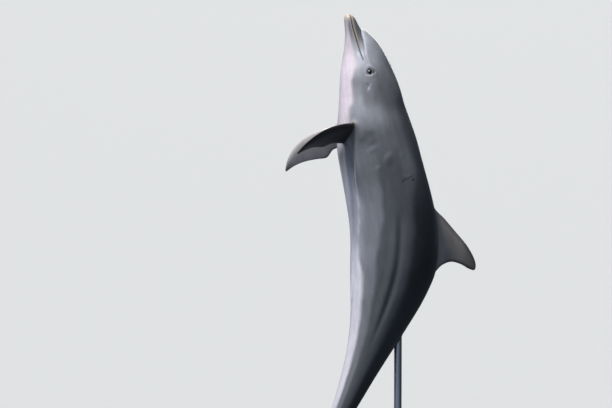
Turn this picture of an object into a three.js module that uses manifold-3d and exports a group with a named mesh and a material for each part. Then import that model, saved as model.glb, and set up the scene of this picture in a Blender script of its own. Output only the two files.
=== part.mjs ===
// Life-size display model of a common bottlenose dolphin rising upright on its tail, held by two rods on an
// oval base. Millimetres, +Z up, origin at the centre of the base's underside. The belly faces -X, the back
// +X and the animal's left side -Y. The animal is modelled whole, as one body lofted along a bent spine with
// separate fins, and then parted into its named regions with thin cuts.
import * as THREE from "three";
import { mergeVertices } from "three/addons/utils/BufferGeometryUtils.js";
import Module from "manifold-3d";

const wasm = await Module();
wasm.setup();

// ---- Driving dimensions ----
const BODY_LENGTH = 2620; // beak tip to the notch of the flukes, along the spine
const PERCENT = BODY_LENGTH / 100; // the animal's sizes below are in percent of its length
const PARTING = 0.4; // width of the cuts between regions, and the gap round what is let in
const BEAK_TIP_X = -181;
const BEAK_TIP_Z = 2648;
const AROUND = 28; // facets round a body section
const DEG = Math.PI / 180;

// ---- The animal's lines ----
// at: place along the spine from the beak tip. lean: how far the spine slopes off the vertical there, in
// degrees, positive where it runs towards the back on its way down. back, belly and side: from the spine to
// the outline. These four are in percent of the body length, but for lean.
const LINES = [
  { at: 0, lean: 14, back: 0.72, belly: 1.32, side: 1.05 },
  { at: 2, lean: 14.3, back: 1.14, belly: 1.6, side: 1.42 },
  { at: 3.6, lean: 14.6, back: 1.6, belly: 1.9, side: 1.75 },
  { at: 4.5, lean: 14.7, back: 2.56, belly: 2.15, side: 2.0 },
  { at: 6.5, lean: 14.9, back: 3.96, belly: 2.79, side: 2.6 },
  { at: 8, lean: 15, back: 4.62, belly: 3.4, side: 3.1 },
  { at: 10, lean: 15.2, back: 5.25, belly: 4.29, side: 3.85 },
  { at: 13, lean: 14.3, back: 5.88, belly: 5.42, side: 4.85 },
  { at: 16, lean: 12.2, back: 6.42, belly: 6.15, side: 5.7 },
  { at: 20, lean: 10, back: 6.95, belly: 7.0, side: 6.6 },
  { at: 25, lean: 9, back: 7.9, belly: 8.15, side: 7.55 },
  { at: 30, lean: 9.3, back: 8.75, belly: 8.78, side: 8.1 },
  { at: 35, lean: 11.5, back: 9.2, belly: 8.75, side: 8.4 },
  { at: 42, lean: 9.5, back: 9.85, belly: 8.75, side: 8.6 },
  { at: 48, lean: 4, back: 10.45, belly: 8.8, side: 8.55 },
  { at: 54.5, lean: -3.5, back: 10.5, belly: 8.85, side: 8.2 },
  { at: 61, lean: -12.5, back: 8.85, belly: 8.2, side: 7.2 },
  { at: 68, lean: -18, back: 6.55, belly: 6.5, side: 5.55 },
  { at: 75, lean: -22, back: 4.85, belly: 4.8, side: 4.05 },
  { at: 82, lean: -24, back: 3.6, belly: 3.5, side: 2.75 },
  { at: 89, lean: -25, back: 2.65, belly: 2.5, side: 1.8 },
  { at: 95, lean: -25, back: 1.8, belly: 1.7, side: 1.25 },
  { at: 100, lean: -25, back: 0.75, belly: 0.75, side: 0.9 },
];
// Top of the snout and skull, under the melon, and the melon's half-width, from its front edge to the nape.
const BRIDGE = [[0, 0.72], [2, 1.14], [3.6, 1.52], [5, 1.8], [7, 2.3], [10, 3.35], [13, 4.6], [16, 5.7], [20, 6.95]];
const MELON_SIDE = [[3.6, 0.9], [4.5, 1.55], [5.5, 2.1], [8, 3.0], [10, 3.65], [13, 4.6], [16, 5.6], [20, 6.6]];
const MELON_FRONT = 3.6;
const MELON_BACK = 20;
const MELON_CENTRE = 0.42; // height of the melon's own centre, as a share of its top
const KEEL_SHARPNESS = [[0, 2.1], [20, 2.15], [50, 2.05], [65, 1.95], [80, 1.75], [100, 1.7]]; // section exponent
const TIP_ROUNDING = 1.5; // length of the beak's blunt end
const TAIL_END = 99.3; // the body fades out here, in the notch between the flukes
const TAIL_ROUNDING = 1.6;
const UNDERBITE = 0.42; // slope of the beak's end, so that the lower jaw reaches further
const UNDERBITE_LENGTH = 4;
// how many sections are drawn over each stretch: [from, to, sections]
const STATIONS = [[0, 1.5, 4], [1.5, 3.4, 2], [3.4, 5, 4], [5, 16, 9], [16, 70, 20], [70, 97.6, 9], [97.6, 99.3, 3]];

// ---- Mouth, eyes ----
const MOUTH = [[-1, 0], [0.5, -0.15], [2.5, -0.45], [5, -0.66], [7.2, -0.78], [8.7, -0.7], [9.8, -0.42]];
const THROAT_CUT = [[10.25, -0.7], [10.05, -1.35], [9.3, -3], [8.4, -6]]; // from the mouth's corner to the throat
const CREASE = [[3.45, 3], [3.6, 1.45], [5, 1.3], [7, 0.95], [8.7, 0.4]]; // from the melon's front to the mouth's corner
const SHEET_HALF = 160; // half-width of a cutting sheet, wider than the head
const EYE = { at: 12.7, height: 0, radius: 17, proud: 4 };

// ---- Fins, in percent of the body length ----
// Each fin is drawn by ribs from the root, inside the body, to the tip. A rib runs from the leading edge to
// the trailing edge, and each end is given as [out from the root, towards the tail].
const DORSAL_FIN = {
  at: 50,
  ribs: [
    [[8.2, -8.8], [8.2, 9.6]],
    [[10.3, -6.4], [10.2, 8.2]],
    [[12.2, -4.0], [11.6, 6.5]],
    [[14.8, -0.8], [13.6, 5.85]],
    [[17.1, 2.05], [15.8, 6.5]],
    [[18.65, 4.7], [17.4, 7.5]],
    [[19.3, 6.7], [18.5, 8.0]],
    [[19.15, 7.85], [18.9, 8.05]],
  ],
  thick: 2.3,
  tipThick: 0.35,
  flare: 0.7,
};
const FLIPPER = {
  ribs: [
    [[-2.6, -2.6], [-2.6, 3.0]],
    [[0, -3.0], [0.3, 2.9]],
    [[2.4, -3.55], [2.6, 1.75]],
    [[4.9, -3.85], [4.9, 2.6]],
    [[7.6, -3.7], [7.0, 1.75]],
    [[10.4, -2.85], [9.6, 0.85]],
    [[12.6, -1.35], [12.0, 0.55]],
    [[14.15, 0.35], [14.1, 0.75]],
  ],
  thick: 1.75,
  tipThick: 0.3,
  flare: 0.5,
};
// Where each flipper's root sits, the way the blade points and the way its hind edge faces.
const FLIPPER_POSES = [
  { name: "flipper_left", side: -1, at: 25, turn: 149, points: [-0.912, -0.344, -0.222], hind: [-0.018, 0.576, -0.817] },
  { name: "flipper_right", side: 1, at: 26, turn: 141, points: [-0.805, 0.31, -0.506], hind: [0.563, 0.127, -0.817] },
];
const FLUKE = {
  ribs: [
    [[-1, -9.4], [-1, -0.9]],
    [[1.0, -8.3], [0.35, -0.75]],
    [[2.6, -6.6], [1.6, 0.5]],
    [[4.8, -4.4], [3.8, 0.75]],
    [[7.2, -2.4], [6.4, 0.55]],
    [[9.3, -0.75], [8.8, 0.55]],
    [[10.8, 0.55], [10.5, 1.0]],
    [[11.6, 1.5], [11.5, 1.7]],
  ],
  thick: 1.9,
  tipThick: 0.25,
  flare: 0.35,
};
const FIN_RINGS = 12; // sections from root to tip
const FIN_AROUND = 14; // facets round a fin section

// ---- Regions: cuts square to the spine, and a point inside each region [at, height] ----
const CUTS = [18.5, 31, 43.5, 58, 71, 85];
const REGIONS = {
  beak_upper: [2.2, 0.55],
  beak_lower: [2.2, -0.9],
  head: [14, 1],
  neck: [24, 0],
  chest: [37, 0],
  trunk: [50, 0],
  loin: [64, 0],
  tail_stock: [78, 0],
  tail_end: [92, 0],
};

// ---- Stand ----
const BASE = { length: 1190, width: 900, thick: 36, bevel: 8 };
const TRUNK_ROD = { x: 110, radius: 22, top: 850 };
const TAIL_ROD = { x: -331, radius: 13, top: 196 };
const COLLAR = { reach: 34, height: 12, hubReach: 11, hubHeight: 38 };

// ---- Colours ----
const COLOURS = {
  back: [0x4c5058, 0.42, 0],
  flank: [0x75777d, 0.42, 0],
  belly: [0xd9ccd2, 0.45, 0],
  fin: [0x3f4248, 0.4, 0],
  eye: [0x0c0b0c, 0.08, 0],
  base: [0x2b2c2e, 0.55, 0],
  steel: [0xb9bbbd, 0.3, 1],
};

// A smooth curve through [place, value] pairs that never overshoots them: cubic pieces whose slopes are the
// harmonic means of the neighbouring chords.
function curveThrough(pairs) {
  const xs = pairs.map((p) => p[0]);
  const ys = pairs.map((p) => p[1]);
  const chords = xs.slice(1).map((x, i) => (ys[i + 1] - ys[i]) / (x - xs[i]));
  const slopes = xs.map((_, i) => {
    const before = chords[Math.max(i - 1, 0)];
    const after = chords[Math.min(i, chords.length - 1)];
    return before * after > 0 ? (2 * before * after) / (before + after) : 0;
  });
  return (x) => {
    const last = xs.length - 1;
    if (x <= xs[0]) return ys[0];
    if (x >= xs[last]) return ys[last];
    const i = xs.findIndex((v) => v > x) - 1;
    const h = xs[i + 1] - xs[i];
    const t = (x - xs[i]) / h;
    const rise = ys[i] * (1 + 2 * t) * (1 - t) ** 2 + ys[i + 1] * t * t * (3 - 2 * t);
    return rise + h * t * (1 - t) * (slopes[i] * (1 - t) - slopes[i + 1] * t);
  };
}

const line = (key) => curveThrough(LINES.map((row) => [row.at, row[key]]));
const lean = line("lean");
const back = line("back");
const belly = line("belly");
const side = line("side");
const bridge = curveThrough(BRIDGE);
const melonSide = curveThrough(MELON_SIDE);
const keel = curveThrough(KEEL_SHARPNESS);

// ---- Spine: the lean summed up along the length ----
const SPINE_STEPS = 800;
const spine = [new THREE.Vector3(BEAK_TIP_X, 0, BEAK_TIP_Z)];
for (let i = 0; i < SPINE_STEPS; i++) {
  const slope = lean(((i + 0.5) / SPINE_STEPS) * 100) * DEG;
  const step = new THREE.Vector3(Math.sin(slope), 0, -Math.cos(slope)).multiplyScalar(BODY_LENGTH / SPINE_STEPS);
  spine.push(spine[i].clone().add(step));
}

// The spine's point at a place, the way it runs towards the tail, and the way towards the back.
function spineAt(at) {
  const place = THREE.MathUtils.clamp(at / 100, 0, 1) * SPINE_STEPS;
  const i = Math.min(Math.floor(place), SPINE_STEPS - 1);
  const point = spine[i].clone().lerp(spine[i + 1], place - i);
  const slope = lean(at) * DEG;
  const along = new THREE.Vector3(Math.sin(slope), 0, -Math.cos(slope));
  point.addScaledVector(along, ((at - THREE.MathUtils.clamp(at, 0, 100)) / 100) * BODY_LENGTH);
  return { point, along, dorsal: new THREE.Vector3(Math.cos(slope), 0, Math.sin(slope)) };
}

// A point beside the spine: height towards the back and width towards +Y, both in percent.
function beside(at, height, width = 0) {
  const { point, dorsal } = spineAt(at);
  return point.addScaledVector(dorsal, height * PERCENT).add(new THREE.Vector3(0, width * PERCENT, 0));
}

// Rounds off the two ends: a quarter ellipse over each end's length.
function endRounding(at) {
  const round = (depth) => Math.sqrt(Math.max(0, 1 - (1 - Math.min(depth, 1)) ** 2));
  return round(at / TIP_ROUNDING) * round((TAIL_END - at) / TAIL_ROUNDING);
}

// Distance from the spine to the skin at a turn, in degrees from the back. The skull and body are a rounded
// superellipse, the melon an ellipse with its centre above the spine, and the outer of the two shows, with
// the crease between them softening towards the nape.
function sectionRadius(at, turn) {
  const up = Math.cos(turn * DEG);
  const out = Math.abs(Math.sin(turn * DEG));
  const inMelon = at > MELON_FRONT && at < MELON_BACK;
  const top = at < MELON_BACK ? bridge(at) : back(at);
  const n = keel(at);
  const height = up > 0 ? top : belly(at);
  const core = (Math.abs(up / height) ** n + (out / side(at)) ** n) ** (-1 / n);
  if (!inMelon) return core * endRounding(at);
  const centre = MELON_CENTRE * back(at);
  const tall = back(at) - centre;
  const wide = melonSide(at);
  const spread = (up / tall) ** 2 + (out / wide) ** 2;
  const shift = (centre * up) / tall ** 2;
  const melon = (shift + Math.sqrt(shift ** 2 + (1 - (centre / tall) ** 2) * spread)) / spread;
  const soft = 0.08 + (0.9 * (at - MELON_FRONT)) / (MELON_BACK - MELON_FRONT);
  const blend = Math.sqrt((core - melon) ** 2 + soft ** 2);
  return Math.max(core, melon, (core + melon + blend) / 2 - soft * 0.25);
}

// The skin's point at a place and turn; grown is how far outside the true skin it lies, in mm.
function skin(at, turn, grown = 0) {
  const { point, along, dorsal } = spineAt(at);
  const reach = sectionRadius(at, turn) * PERCENT + grown;
  const up = Math.cos(turn * DEG) * reach;
  const slant = UNDERBITE * Math.max(0, 1 - at / UNDERBITE_LENGTH);
  point.addScaledVector(dorsal, up).addScaledVector(along, slant * up);
  return point.add(new THREE.Vector3(0, Math.sin(turn * DEG) * reach, 0));
}

// ---- Meshes and solids ----
// Closes a stack of rings, each a list of points, with a fan at each end.
function closedLoft(rings, first, last) {
  const count = rings[0].length;
  const points = [first, ...rings.flat(), last];
  const end = points.length - 1;
  const faces = [];
  for (let j = 0; j < count; j++) {
    const k = (j + 1) % count;
    faces.push(0, 1 + j, 1 + k);
    faces.push(end, end - count + k, end - count + j);
    for (let i = 0; i < rings.length - 1; i++) {
      const a = 1 + i * count;
      const b = a + count;
      faces.push(a + j, b + j, b + k, a + j, b + k, a + k);
    }
  }
  const geometry = new THREE.BufferGeometry().setFromPoints(points);
  geometry.setIndex(faces);
  return geometry;
}

// A geometry as a manifold-3d solid, turned to face outwards.
function solidFrom(geometry, matrix = new THREE.Matrix4()) {
  const plain = geometry.clone().applyMatrix4(matrix);
  plain.deleteAttribute("normal");
  plain.deleteAttribute("uv");
  const merged = mergeVertices(plain, 1e-3);
  const vertProperties = new Float32Array(merged.attributes.position.array);
  const triVerts = new Uint32Array(merged.index.array);
  const make = () => new wasm.Manifold(new wasm.Mesh({ numProp: 3, vertProperties, triVerts }));
  const made = make();
  if (made.volume() > 0) return made;
  triVerts.reverse();
  return make();
}

function geometryFrom(solid) {
  const mesh = solid.getMesh();
  const geometry = new THREE.BufferGeometry();
  geometry.setAttribute("position", new THREE.BufferAttribute(new Float32Array(mesh.vertProperties), 3));
  geometry.setIndex(new THREE.BufferAttribute(new Uint32Array(mesh.triVerts), 1));
  geometry.computeVertexNormals();
  return geometry;
}

// ---- Body ----
function stationPlaces() {
  const places = STATIONS.flatMap(([from, to, count]) =>
    Array.from({ length: count }, (_, i) => from + ((to - from) * (i + 1)) / count),
  );
  return [0.12, ...places.slice(0, -1), TAIL_END - 0.05];
}

function bodySolid(grown = 0) {
  const turns = Array.from({ length: AROUND }, (_, j) => (j * 360) / AROUND);
  const rings = stationPlaces().map((at) => turns.map((turn) => skin(at, turn, grown)));
  const { along } = spineAt(0);
  const tip = beside(0, 0).addScaledVector(along, -grown);
  const tail = beside(TAIL_END, 0).addScaledVector(spineAt(TAIL_END).along, grown);
  return solidFrom(closedLoft(rings, tip, tail));
}

// ---- Fins ----
// A blade between a leading and a trailing edge. Its section is a flattened oval, thickest ahead of the
// middle, and the thickness falls from root to tip, with a flare where the root meets the body.
function finSolid(fin, frame) {
  const edge = (end) => new THREE.SplineCurve(fin.ribs.map((rib) => new THREE.Vector2(...rib[end])));
  const leading = edge(0);
  const trailing = edge(1);
  const place = (out, aft, lift) => new THREE.Vector3(out, aft, lift).multiplyScalar(PERCENT).applyMatrix4(frame);
  const rings = Array.from({ length: FIN_RINGS }, (_, i) => {
    const t = i / FIN_RINGS;
    const front = leading.getPoint(t);
    const rear = trailing.getPoint(t);
    const taper = fin.tipThick + (fin.thick - fin.tipThick) * (1 - t) ** 1.1;
    const thick = taper + fin.thick * fin.flare * Math.max(0, 1 - t / 0.22) ** 2;
    return Array.from({ length: FIN_AROUND }, (_, j) => {
      const around = (j / FIN_AROUND) * 2 * Math.PI;
      const chord = (1 - Math.cos(around)) / 2;
      const point = front.clone().lerp(rear, chord);
      return place(point.x, point.y, (thick / 2) * Math.sin(around) * (1.25 - 0.75 * chord));
    });
  });
  const tip = leading.getPoint(1).lerp(trailing.getPoint(1), 0.5);
  const root = leading.getPoint(0).lerp(trailing.getPoint(0), 0.5);
  return solidFrom(closedLoft(rings, place(root.x, root.y, 0), place(tip.x, tip.y, 0)));
}

function frameOf(out, aft, origin) {
  const lift = new THREE.Vector3().crossVectors(out, aft).normalize();
  return new THREE.Matrix4().makeBasis(out, aft, lift).setPosition(origin);
}

function dorsalFin() {
  const { point, along, dorsal } = spineAt(DORSAL_FIN.at);
  return finSolid(DORSAL_FIN, frameOf(dorsal, along, point));
}

function flipper({ at, turn, points, hind, side: sign }) {
  const out = new THREE.Vector3(...points).normalize();
  const aft = new THREE.Vector3(...hind);
  aft.addScaledVector(out, -aft.dot(out)).normalize();
  return finSolid(FLIPPER, frameOf(out, aft, skin(at, sign * turn)));
}

function fluke(sign) {
  const { point, along } = spineAt(100);
  return finSolid(FLUKE, frameOf(new THREE.Vector3(0, sign, 0), along, point));
}

// ---- Cutting tools ----
// A thin slab square to the spine.
function slab(at) {
  const { point, along, dorsal } = spineAt(at);
  const turned = new THREE.Matrix4().makeBasis(dorsal, new THREE.Vector3().crossVectors(along, dorsal), along);
  return solidFrom(new THREE.BoxGeometry(900, 900, PARTING), turned.setPosition(point));
}

// A thin sheet across the head that follows a line of [at, height] points in the plane of symmetry.
function sheet(points) {
  const path = points.map(([at, height]) => beside(at, height));
  const rings = path.map((point, i) => {
    const run = path[Math.min(i + 1, path.length - 1)].clone().sub(path[Math.max(i - 1, 0)]).normalize();
    const off = new THREE.Vector3(-run.z, 0, run.x).multiplyScalar(PARTING / 2);
    const across = new THREE.Vector3(0, SHEET_HALF, 0);
    return [off.clone().add(across), off.clone().sub(across), off.clone().negate().sub(across), across.clone().sub(off)].map(
      (corner) => corner.add(point),
    );
  });
  return solidFrom(closedLoft(rings, path[0], path[path.length - 1]));
}

// ---- Eyes ----
function eyeball(sign, grown = 0) {
  const height = EYE.height;
  const turn = 90 - (Math.atan(height / side(EYE.at)) / DEG);
  const surface = skin(EYE.at, sign * turn);
  const centre = surface.clone().add(new THREE.Vector3(0, sign * (EYE.proud - EYE.radius), 0));
  return solidFrom(new THREE.SphereGeometry(EYE.radius + grown, 14, 8), new THREE.Matrix4().setPosition(centre));
}

// ---- Stand ----
function baseSolid() {
  const oval = new THREE.Shape().absellipse(0, 0, BASE.length / 2 - BASE.bevel, BASE.width / 2 - BASE.bevel, 0, 2 * Math.PI);
  const settings = {
    depth: BASE.thick - 2 * BASE.bevel,
    bevelSize: BASE.bevel,
    bevelThickness: BASE.bevel,
    bevelSegments: 1,
    curveSegments: 36,
  };
  return solidFrom(new THREE.ExtrudeGeometry(oval, settings).translate(0, 0, BASE.bevel));
}

function rodSolid(rod, grown = 0) {
  const length = rod.top + grown - BASE.thick;
  const tube = new THREE.CylinderGeometry(rod.radius + grown, rod.radius + grown, length, 20).rotateX(Math.PI / 2);
  return solidFrom(tube.translate(rod.x, 0, BASE.thick + length / 2));
}

const lathed = (profile, x) =>
  solidFrom(
    new THREE.LatheGeometry(profile.map(([r, z]) => new THREE.Vector2(r, z)), 20)
      .rotateX(Math.PI / 2)
      .translate(x, 0, 0),
  );

// A flanged collar on the base round the foot of a rod.
function collarSolid(rod) {
  const bore = rod.radius + PARTING;
  const hub = rod.radius + COLLAR.hubReach;
  const rim = rod.radius + COLLAR.reach;
  const low = BASE.thick;
  const profile = [
    [bore, low],
    [rim, low],
    [rim, low + COLLAR.height - 3],
    [rim - 3, low + COLLAR.height],
    [hub + 4, low + COLLAR.height],
    [hub, low + COLLAR.height + 5],
    [hub, low + COLLAR.hubHeight - 2],
    [hub - 2, low + COLLAR.hubHeight],
    [bore, low + COLLAR.hubHeight],
    [bore, low],
  ];
  return lathed(profile, rod.x);
}

// ---- Putting it together ----
const rods = { stand_rod_trunk: TRUNK_ROD, stand_rod_tail: TAIL_ROD };
const grownBody = bodySolid(PARTING);
const sockets = [
  ...[-1, 1].map((sign) => eyeball(sign, PARTING)),
  ...Object.values(rods).map((rod) => rodSolid(rod, PARTING)),
];
const cuts = [...CUTS.map(slab), sheet([...MOUTH, ...THROAT_CUT]), sheet([...CREASE, MOUTH[MOUTH.length - 1]])];
const flesh = [...cuts, ...sockets].reduce((solid, tool) => solid.subtract(tool), bodySolid());
const regions = flesh.decompose();

// The parted region that holds a point.
function regionAt([at, height]) {
  const probe = solidFrom(new THREE.SphereGeometry(1, 8, 6), new THREE.Matrix4().setPosition(beside(at, height)));
  const found = regions.find((solid) => solid.intersect(probe).volume() > 1);
  if (!found) throw new Error("no region holds " + at + ", " + height);
  return found;
}

// What is left of a fin outside the body, with anything smaller that the cuts leave dropped.
function fitted(fin) {
  const pieces = [grownBody, ...sockets].reduce((solid, tool) => solid.subtract(tool), fin).decompose();
  return pieces.sort((a, b) => b.volume() - a.volume())[0];
}

const model = new THREE.Group();

function addPart(name, solid, [colour, roughness, metalness]) {
  const mesh = new THREE.Mesh(geometryFrom(solid), new THREE.MeshStandardMaterial({ color: colour, roughness, metalness }));
  mesh.name = name;
  model.add(mesh);
}

for (const [name, point] of Object.entries(REGIONS)) {
  addPart(name, regionAt(point), name === "beak_lower" ? COLOURS.belly : COLOURS.flank);
}
addPart("dorsal_fin", fitted(dorsalFin()), COLOURS.back);
for (const pose of FLIPPER_POSES) addPart(pose.name, fitted(flipper(pose)), COLOURS.fin);
const middle = solidFrom(new THREE.BoxGeometry(900, PARTING, 700), new THREE.Matrix4().setPosition(-340, 0, 350));
addPart("fluke_left", fitted(fluke(-1).subtract(middle)), COLOURS.fin);
addPart("fluke_right", fitted(fluke(1).subtract(middle)), COLOURS.fin);
addPart("eye_left", eyeball(-1), COLOURS.eye);
addPart("eye_right", eyeball(1), COLOURS.eye);
addPart("stand_base", baseSolid(), COLOURS.base);
for (const [name, rod] of Object.entries(rods)) {
  addPart(name, rodSolid(rod), COLOURS.steel);
  addPart(name.replace("rod", "collar"), collarSolid(rod), COLOURS.steel);
}

export default model;
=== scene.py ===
"""Life-size display model of a common bottlenose dolphin rising upright, held by two rods on an oval base.

Metres, +Z up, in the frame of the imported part: the belly faces -X, the back +X and the animal's left side
-Y. One skin without seams covers all the flesh, the eyes are set in behind its lids, and the stand is turned
metal.
Places and sizes on the animal are in percent of its length unless a name says otherwise.
"""

from functools import reduce

import bpy
import numpy as np
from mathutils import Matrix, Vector
from mathutils.bvhtree import BVHTree


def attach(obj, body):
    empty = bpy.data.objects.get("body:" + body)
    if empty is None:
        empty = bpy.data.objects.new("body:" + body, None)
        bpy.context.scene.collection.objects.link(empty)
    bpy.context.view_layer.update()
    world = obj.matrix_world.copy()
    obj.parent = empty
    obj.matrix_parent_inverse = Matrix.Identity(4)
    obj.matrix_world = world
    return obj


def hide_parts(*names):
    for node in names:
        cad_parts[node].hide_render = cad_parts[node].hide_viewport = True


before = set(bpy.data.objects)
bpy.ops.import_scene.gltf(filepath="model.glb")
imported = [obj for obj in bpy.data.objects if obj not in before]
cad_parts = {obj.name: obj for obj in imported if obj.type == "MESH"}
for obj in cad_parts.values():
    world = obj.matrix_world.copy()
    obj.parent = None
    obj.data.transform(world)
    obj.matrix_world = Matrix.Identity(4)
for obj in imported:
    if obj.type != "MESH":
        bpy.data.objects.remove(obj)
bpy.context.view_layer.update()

# ---- Driving dimensions ----
BODY_LENGTH = 2.62  # metres from the beak's tip to the notch of the flukes, along the spine
PERCENT = BODY_LENGTH / 100  # metres
MM = 0.001  # metres
PERCENT_IN_MM = PERCENT / MM
BEAK_TIP = np.array([-0.181, 0.0, 2.648])
TIP_ROUNDING = 1.5  # length over which the beak's end is rounded
TAIL_END = 99.3
TAIL_ROUNDING = 1.6
UNDERBITE = 0.34  # how much further the lower jaw reaches, as a slope
UNDERBITE_LENGTH = 4
MELON_FRONT = 3.6
MELON_BACK = 20
MELON_CENTRE = 0.42  # height of the melon's centre as a share of the back's height
SKULL_TO_BACK = (17, 21)  # where the skull's top gives way to the back's own line
MELON_GONE, MELON_WHOLE, CREASE_WHOLE = 22.5, 17.5, 16  # where the melon and its crease run out and are whole

# The body's lines, each row: at, lean in degrees, and the heights of back, belly and side above the spine.
LINES = [
    (0, 14, 0.72, 1.32, 1.05),
    (2, 14.3, 1.14, 1.6, 1.42),
    (3.6, 14.6, 1.6, 1.9, 1.75),
    (4.5, 14.7, 2.56, 2.15, 2.0),
    (6.5, 14.9, 3.96, 2.79, 2.6),
    (8, 15, 4.62, 3.4, 3.1),
    (10, 15.2, 5.25, 4.29, 3.85),
    (13, 14.3, 5.88, 5.42, 4.85),
    (16, 12.2, 6.42, 6.15, 5.7),
    (20, 10, 6.95, 7.0, 6.6),
    (25, 9, 7.9, 8.15, 7.55),
    (30, 9.3, 8.75, 8.78, 8.1),
    (35, 11.5, 9.2, 8.75, 8.4),
    (42, 9.5, 9.85, 8.75, 8.6),
    (48, 4, 10.45, 8.8, 8.55),
    (54.5, -3.5, 10.5, 8.85, 8.2),
    (61, -12.5, 8.85, 8.2, 7.2),
    (68, -18, 6.55, 6.5, 5.55),
    (75, -22, 4.85, 4.8, 4.05),
    (82, -24, 3.6, 3.5, 2.75),
    (89, -25, 2.65, 2.5, 1.8),
    (95, -25, 1.8, 1.7, 1.25),
    (100, -25, 0.75, 0.75, 0.9),
]
# The beak's bridge and on it the skull's top under the melon, as (at, height).
BRIDGE = [(0, 0.72), (2, 1.14), (3.6, 1.52), (5, 1.8), (7, 2.3), (10, 3.35), (13, 4.6), (16, 5.7), (20, 6.95)]
# The melon's half-width, as (at, width).
MELON_SIDE = [(3.6, 0.9), (4.5, 1.55), (5.5, 2.1), (8, 3.0), (10, 3.65), (13, 4.6), (16, 5.6), (20, 6.6)]
# The section's power, 2 for an ellipse, higher for fuller and lower for sharper sections, as (at, power).
KEEL_SHARPNESS = [(0, 2.1), (20, 2.15), (50, 2.05), (65, 1.95), (80, 1.75), (100, 1.7)]
# Lines on the head seen from the side, as (at, height).
MOUTH = [(-1, 0), (0.5, -0.22), (2.5, -0.43), (5, -0.51), (7.2, -0.58), (8.7, -0.63), (9.9, -0.56)]
CREASE = [(3.4, 3.0), (3.65, 1.45), (4.6, 0.98), (5.8, 0.86), (7.2, 0.6), (8.7, 0.2)]
MOUTH_CORNER = 9.9
EYE_AT = 12.7
EYE_HEIGHT = -0.09
EYE_RADIUS = 17  # mm
EYE_PROUD = 3.2  # mm that the eyeball stands out of the skin
LIDS_AHEAD = 5  # mm from the eyeball's axis forward to the middle of the lids' opening
LIDS_LONG = 17.5  # mm, half the opening's length
LIDS_TALL = 11.8  # mm, half its height
LIDS_TILT = -9  # degrees from the body's line
LIDS_POWER = 1.65  # 2 would be an ellipse, less is a pointed almond
LIDS_OVER_BALL = 1.4  # mm by which the lids' edge stands out of the eyeball
LIDS_DROP = 44  # mm by which the lids' inner side falls from the edge to the opening's middle
SOCKET_FLOOR = -4.5  # mm from the skin
UPPER_LID_MORE = 0.4  # share by which the upper lid swells more and the lower one less

# Ribs of each fin from root to tip: leading edge and trailing edge, each as (out, towards the tail).
DORSAL_RIBS = [
    ((8.2, -8.8), (8.2, 9.6)),
    ((10.3, -6.4), (10.2, 8.2)),
    ((12.2, -4.0), (11.6, 6.5)),
    ((14.8, -0.8), (13.6, 5.85)),
    ((17.1, 2.05), (15.8, 6.5)),
    ((18.65, 4.7), (17.4, 7.5)),
    ((19.3, 6.7), (18.5, 8.0)),
    ((19.15, 7.85), (18.9, 8.05)),
]
RIGHT_FLIPPER_RIBS = [
    ((-2.6, -2.6), (-2.6, 3.0)),
    ((0, -3.0), (0.3, 2.9)),
    ((2.4, -3.55), (2.6, 1.75)),
    ((4.9, -3.85), (4.9, 2.6)),
    ((7.6, -3.7), (7.0, 1.75)),
    ((10.4, -2.85), (9.6, 0.85)),
    ((12.6, -1.35), (12.0, 0.55)),
    ((14.15, 0.35), (14.1, 0.75)),
]
LEFT_FLIPPER_RIBS = RIGHT_FLIPPER_RIBS[:3] + [
    ((4.9, -3.85), (4.9, 1.1)),
    ((7.6, -3.7), (7.0, 1.25)),
    ((10.4, -2.85), (9.6, 0.4)),
    ((12.6, -1.35), (12.0, 0.35)),
    ((14.15, 0.35), (14.1, 0.75)),
]
FLUKE_RIBS = [
    ((-1, -9.4), (-1, -0.9)),
    ((1.0, -8.3), (0.35, -0.75)),
    ((2.6, -6.6), (1.6, 0.5)),
    ((4.8, -4.4), (3.8, 0.75)),
    ((7.2, -2.4), (6.4, 0.55)),
    ((9.3, -0.75), (8.8, 0.55)),
    ((10.8, 0.55), (10.5, 1.0)),
    ((11.6, 1.5), (11.5, 1.7)),
]


# ---- Curves ----
def curve_through(pairs):
    """A smooth curve through (place, value) pairs that never overshoots them: cubic pieces whose slope at
    each pair is the harmonic mean of the neighbouring chords' slopes, or level where those differ in sign."""
    places, values = np.array(pairs, float).T
    chords = np.diff(values) / np.diff(places)
    before = np.append(chords[0], chords)
    after = np.append(chords, chords[-1])
    agree = before * after > 0
    slopes = np.where(agree, 2 * before * after / np.where(agree, before + after, 1), 0)

    def value(at):
        at = np.clip(at, places[0], places[-1])
        i = np.clip(np.searchsorted(places, at, side="right") - 1, 0, len(places) - 2)
        span = places[i + 1] - places[i]
        t = (at - places[i]) / span
        rise = values[i] * (1 + 2 * t) * (1 - t) ** 2 + values[i + 1] * t * t * (3 - 2 * t)
        return rise + span * t * (1 - t) * (slopes[i] * (1 - t) - slopes[i + 1] * t)

    return value


def softened(curve):
    """The curve averaged over a short stretch round each place, longer further from the beak, so that the
    light runs evenly along the skin."""
    offsets = np.linspace(-0.9, 0.9, 7)
    weights = (1 - offsets**2) / (1 - offsets**2).sum()

    def value(at):
        reach = np.clip(0.07 * at, 0.02, 2.2)
        return sum(w * curve(at + o * reach) for o, w in zip(offsets, weights))

    return value


def body_line(column):
    """One column of the body's lines as a softened curve over the length."""
    return softened(curve_through([(row[0], row[column]) for row in LINES]))


def swell(low, high, value):
    """0 below low and 1 above high, with an even S-curve between. Low may be the larger of the two."""
    t = np.clip((value - low) / (high - low), 0, 1)
    return t * t * (3 - 2 * t)


def blended(a, b, share):
    """The first value led over to the second by a share from 0 to 1."""
    return a + (b - a) * share


def bell(distance, reach):
    """1 in the middle, falling away to both sides as a bell curve of that reach."""
    return np.exp(-((distance / reach) ** 2))


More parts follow.
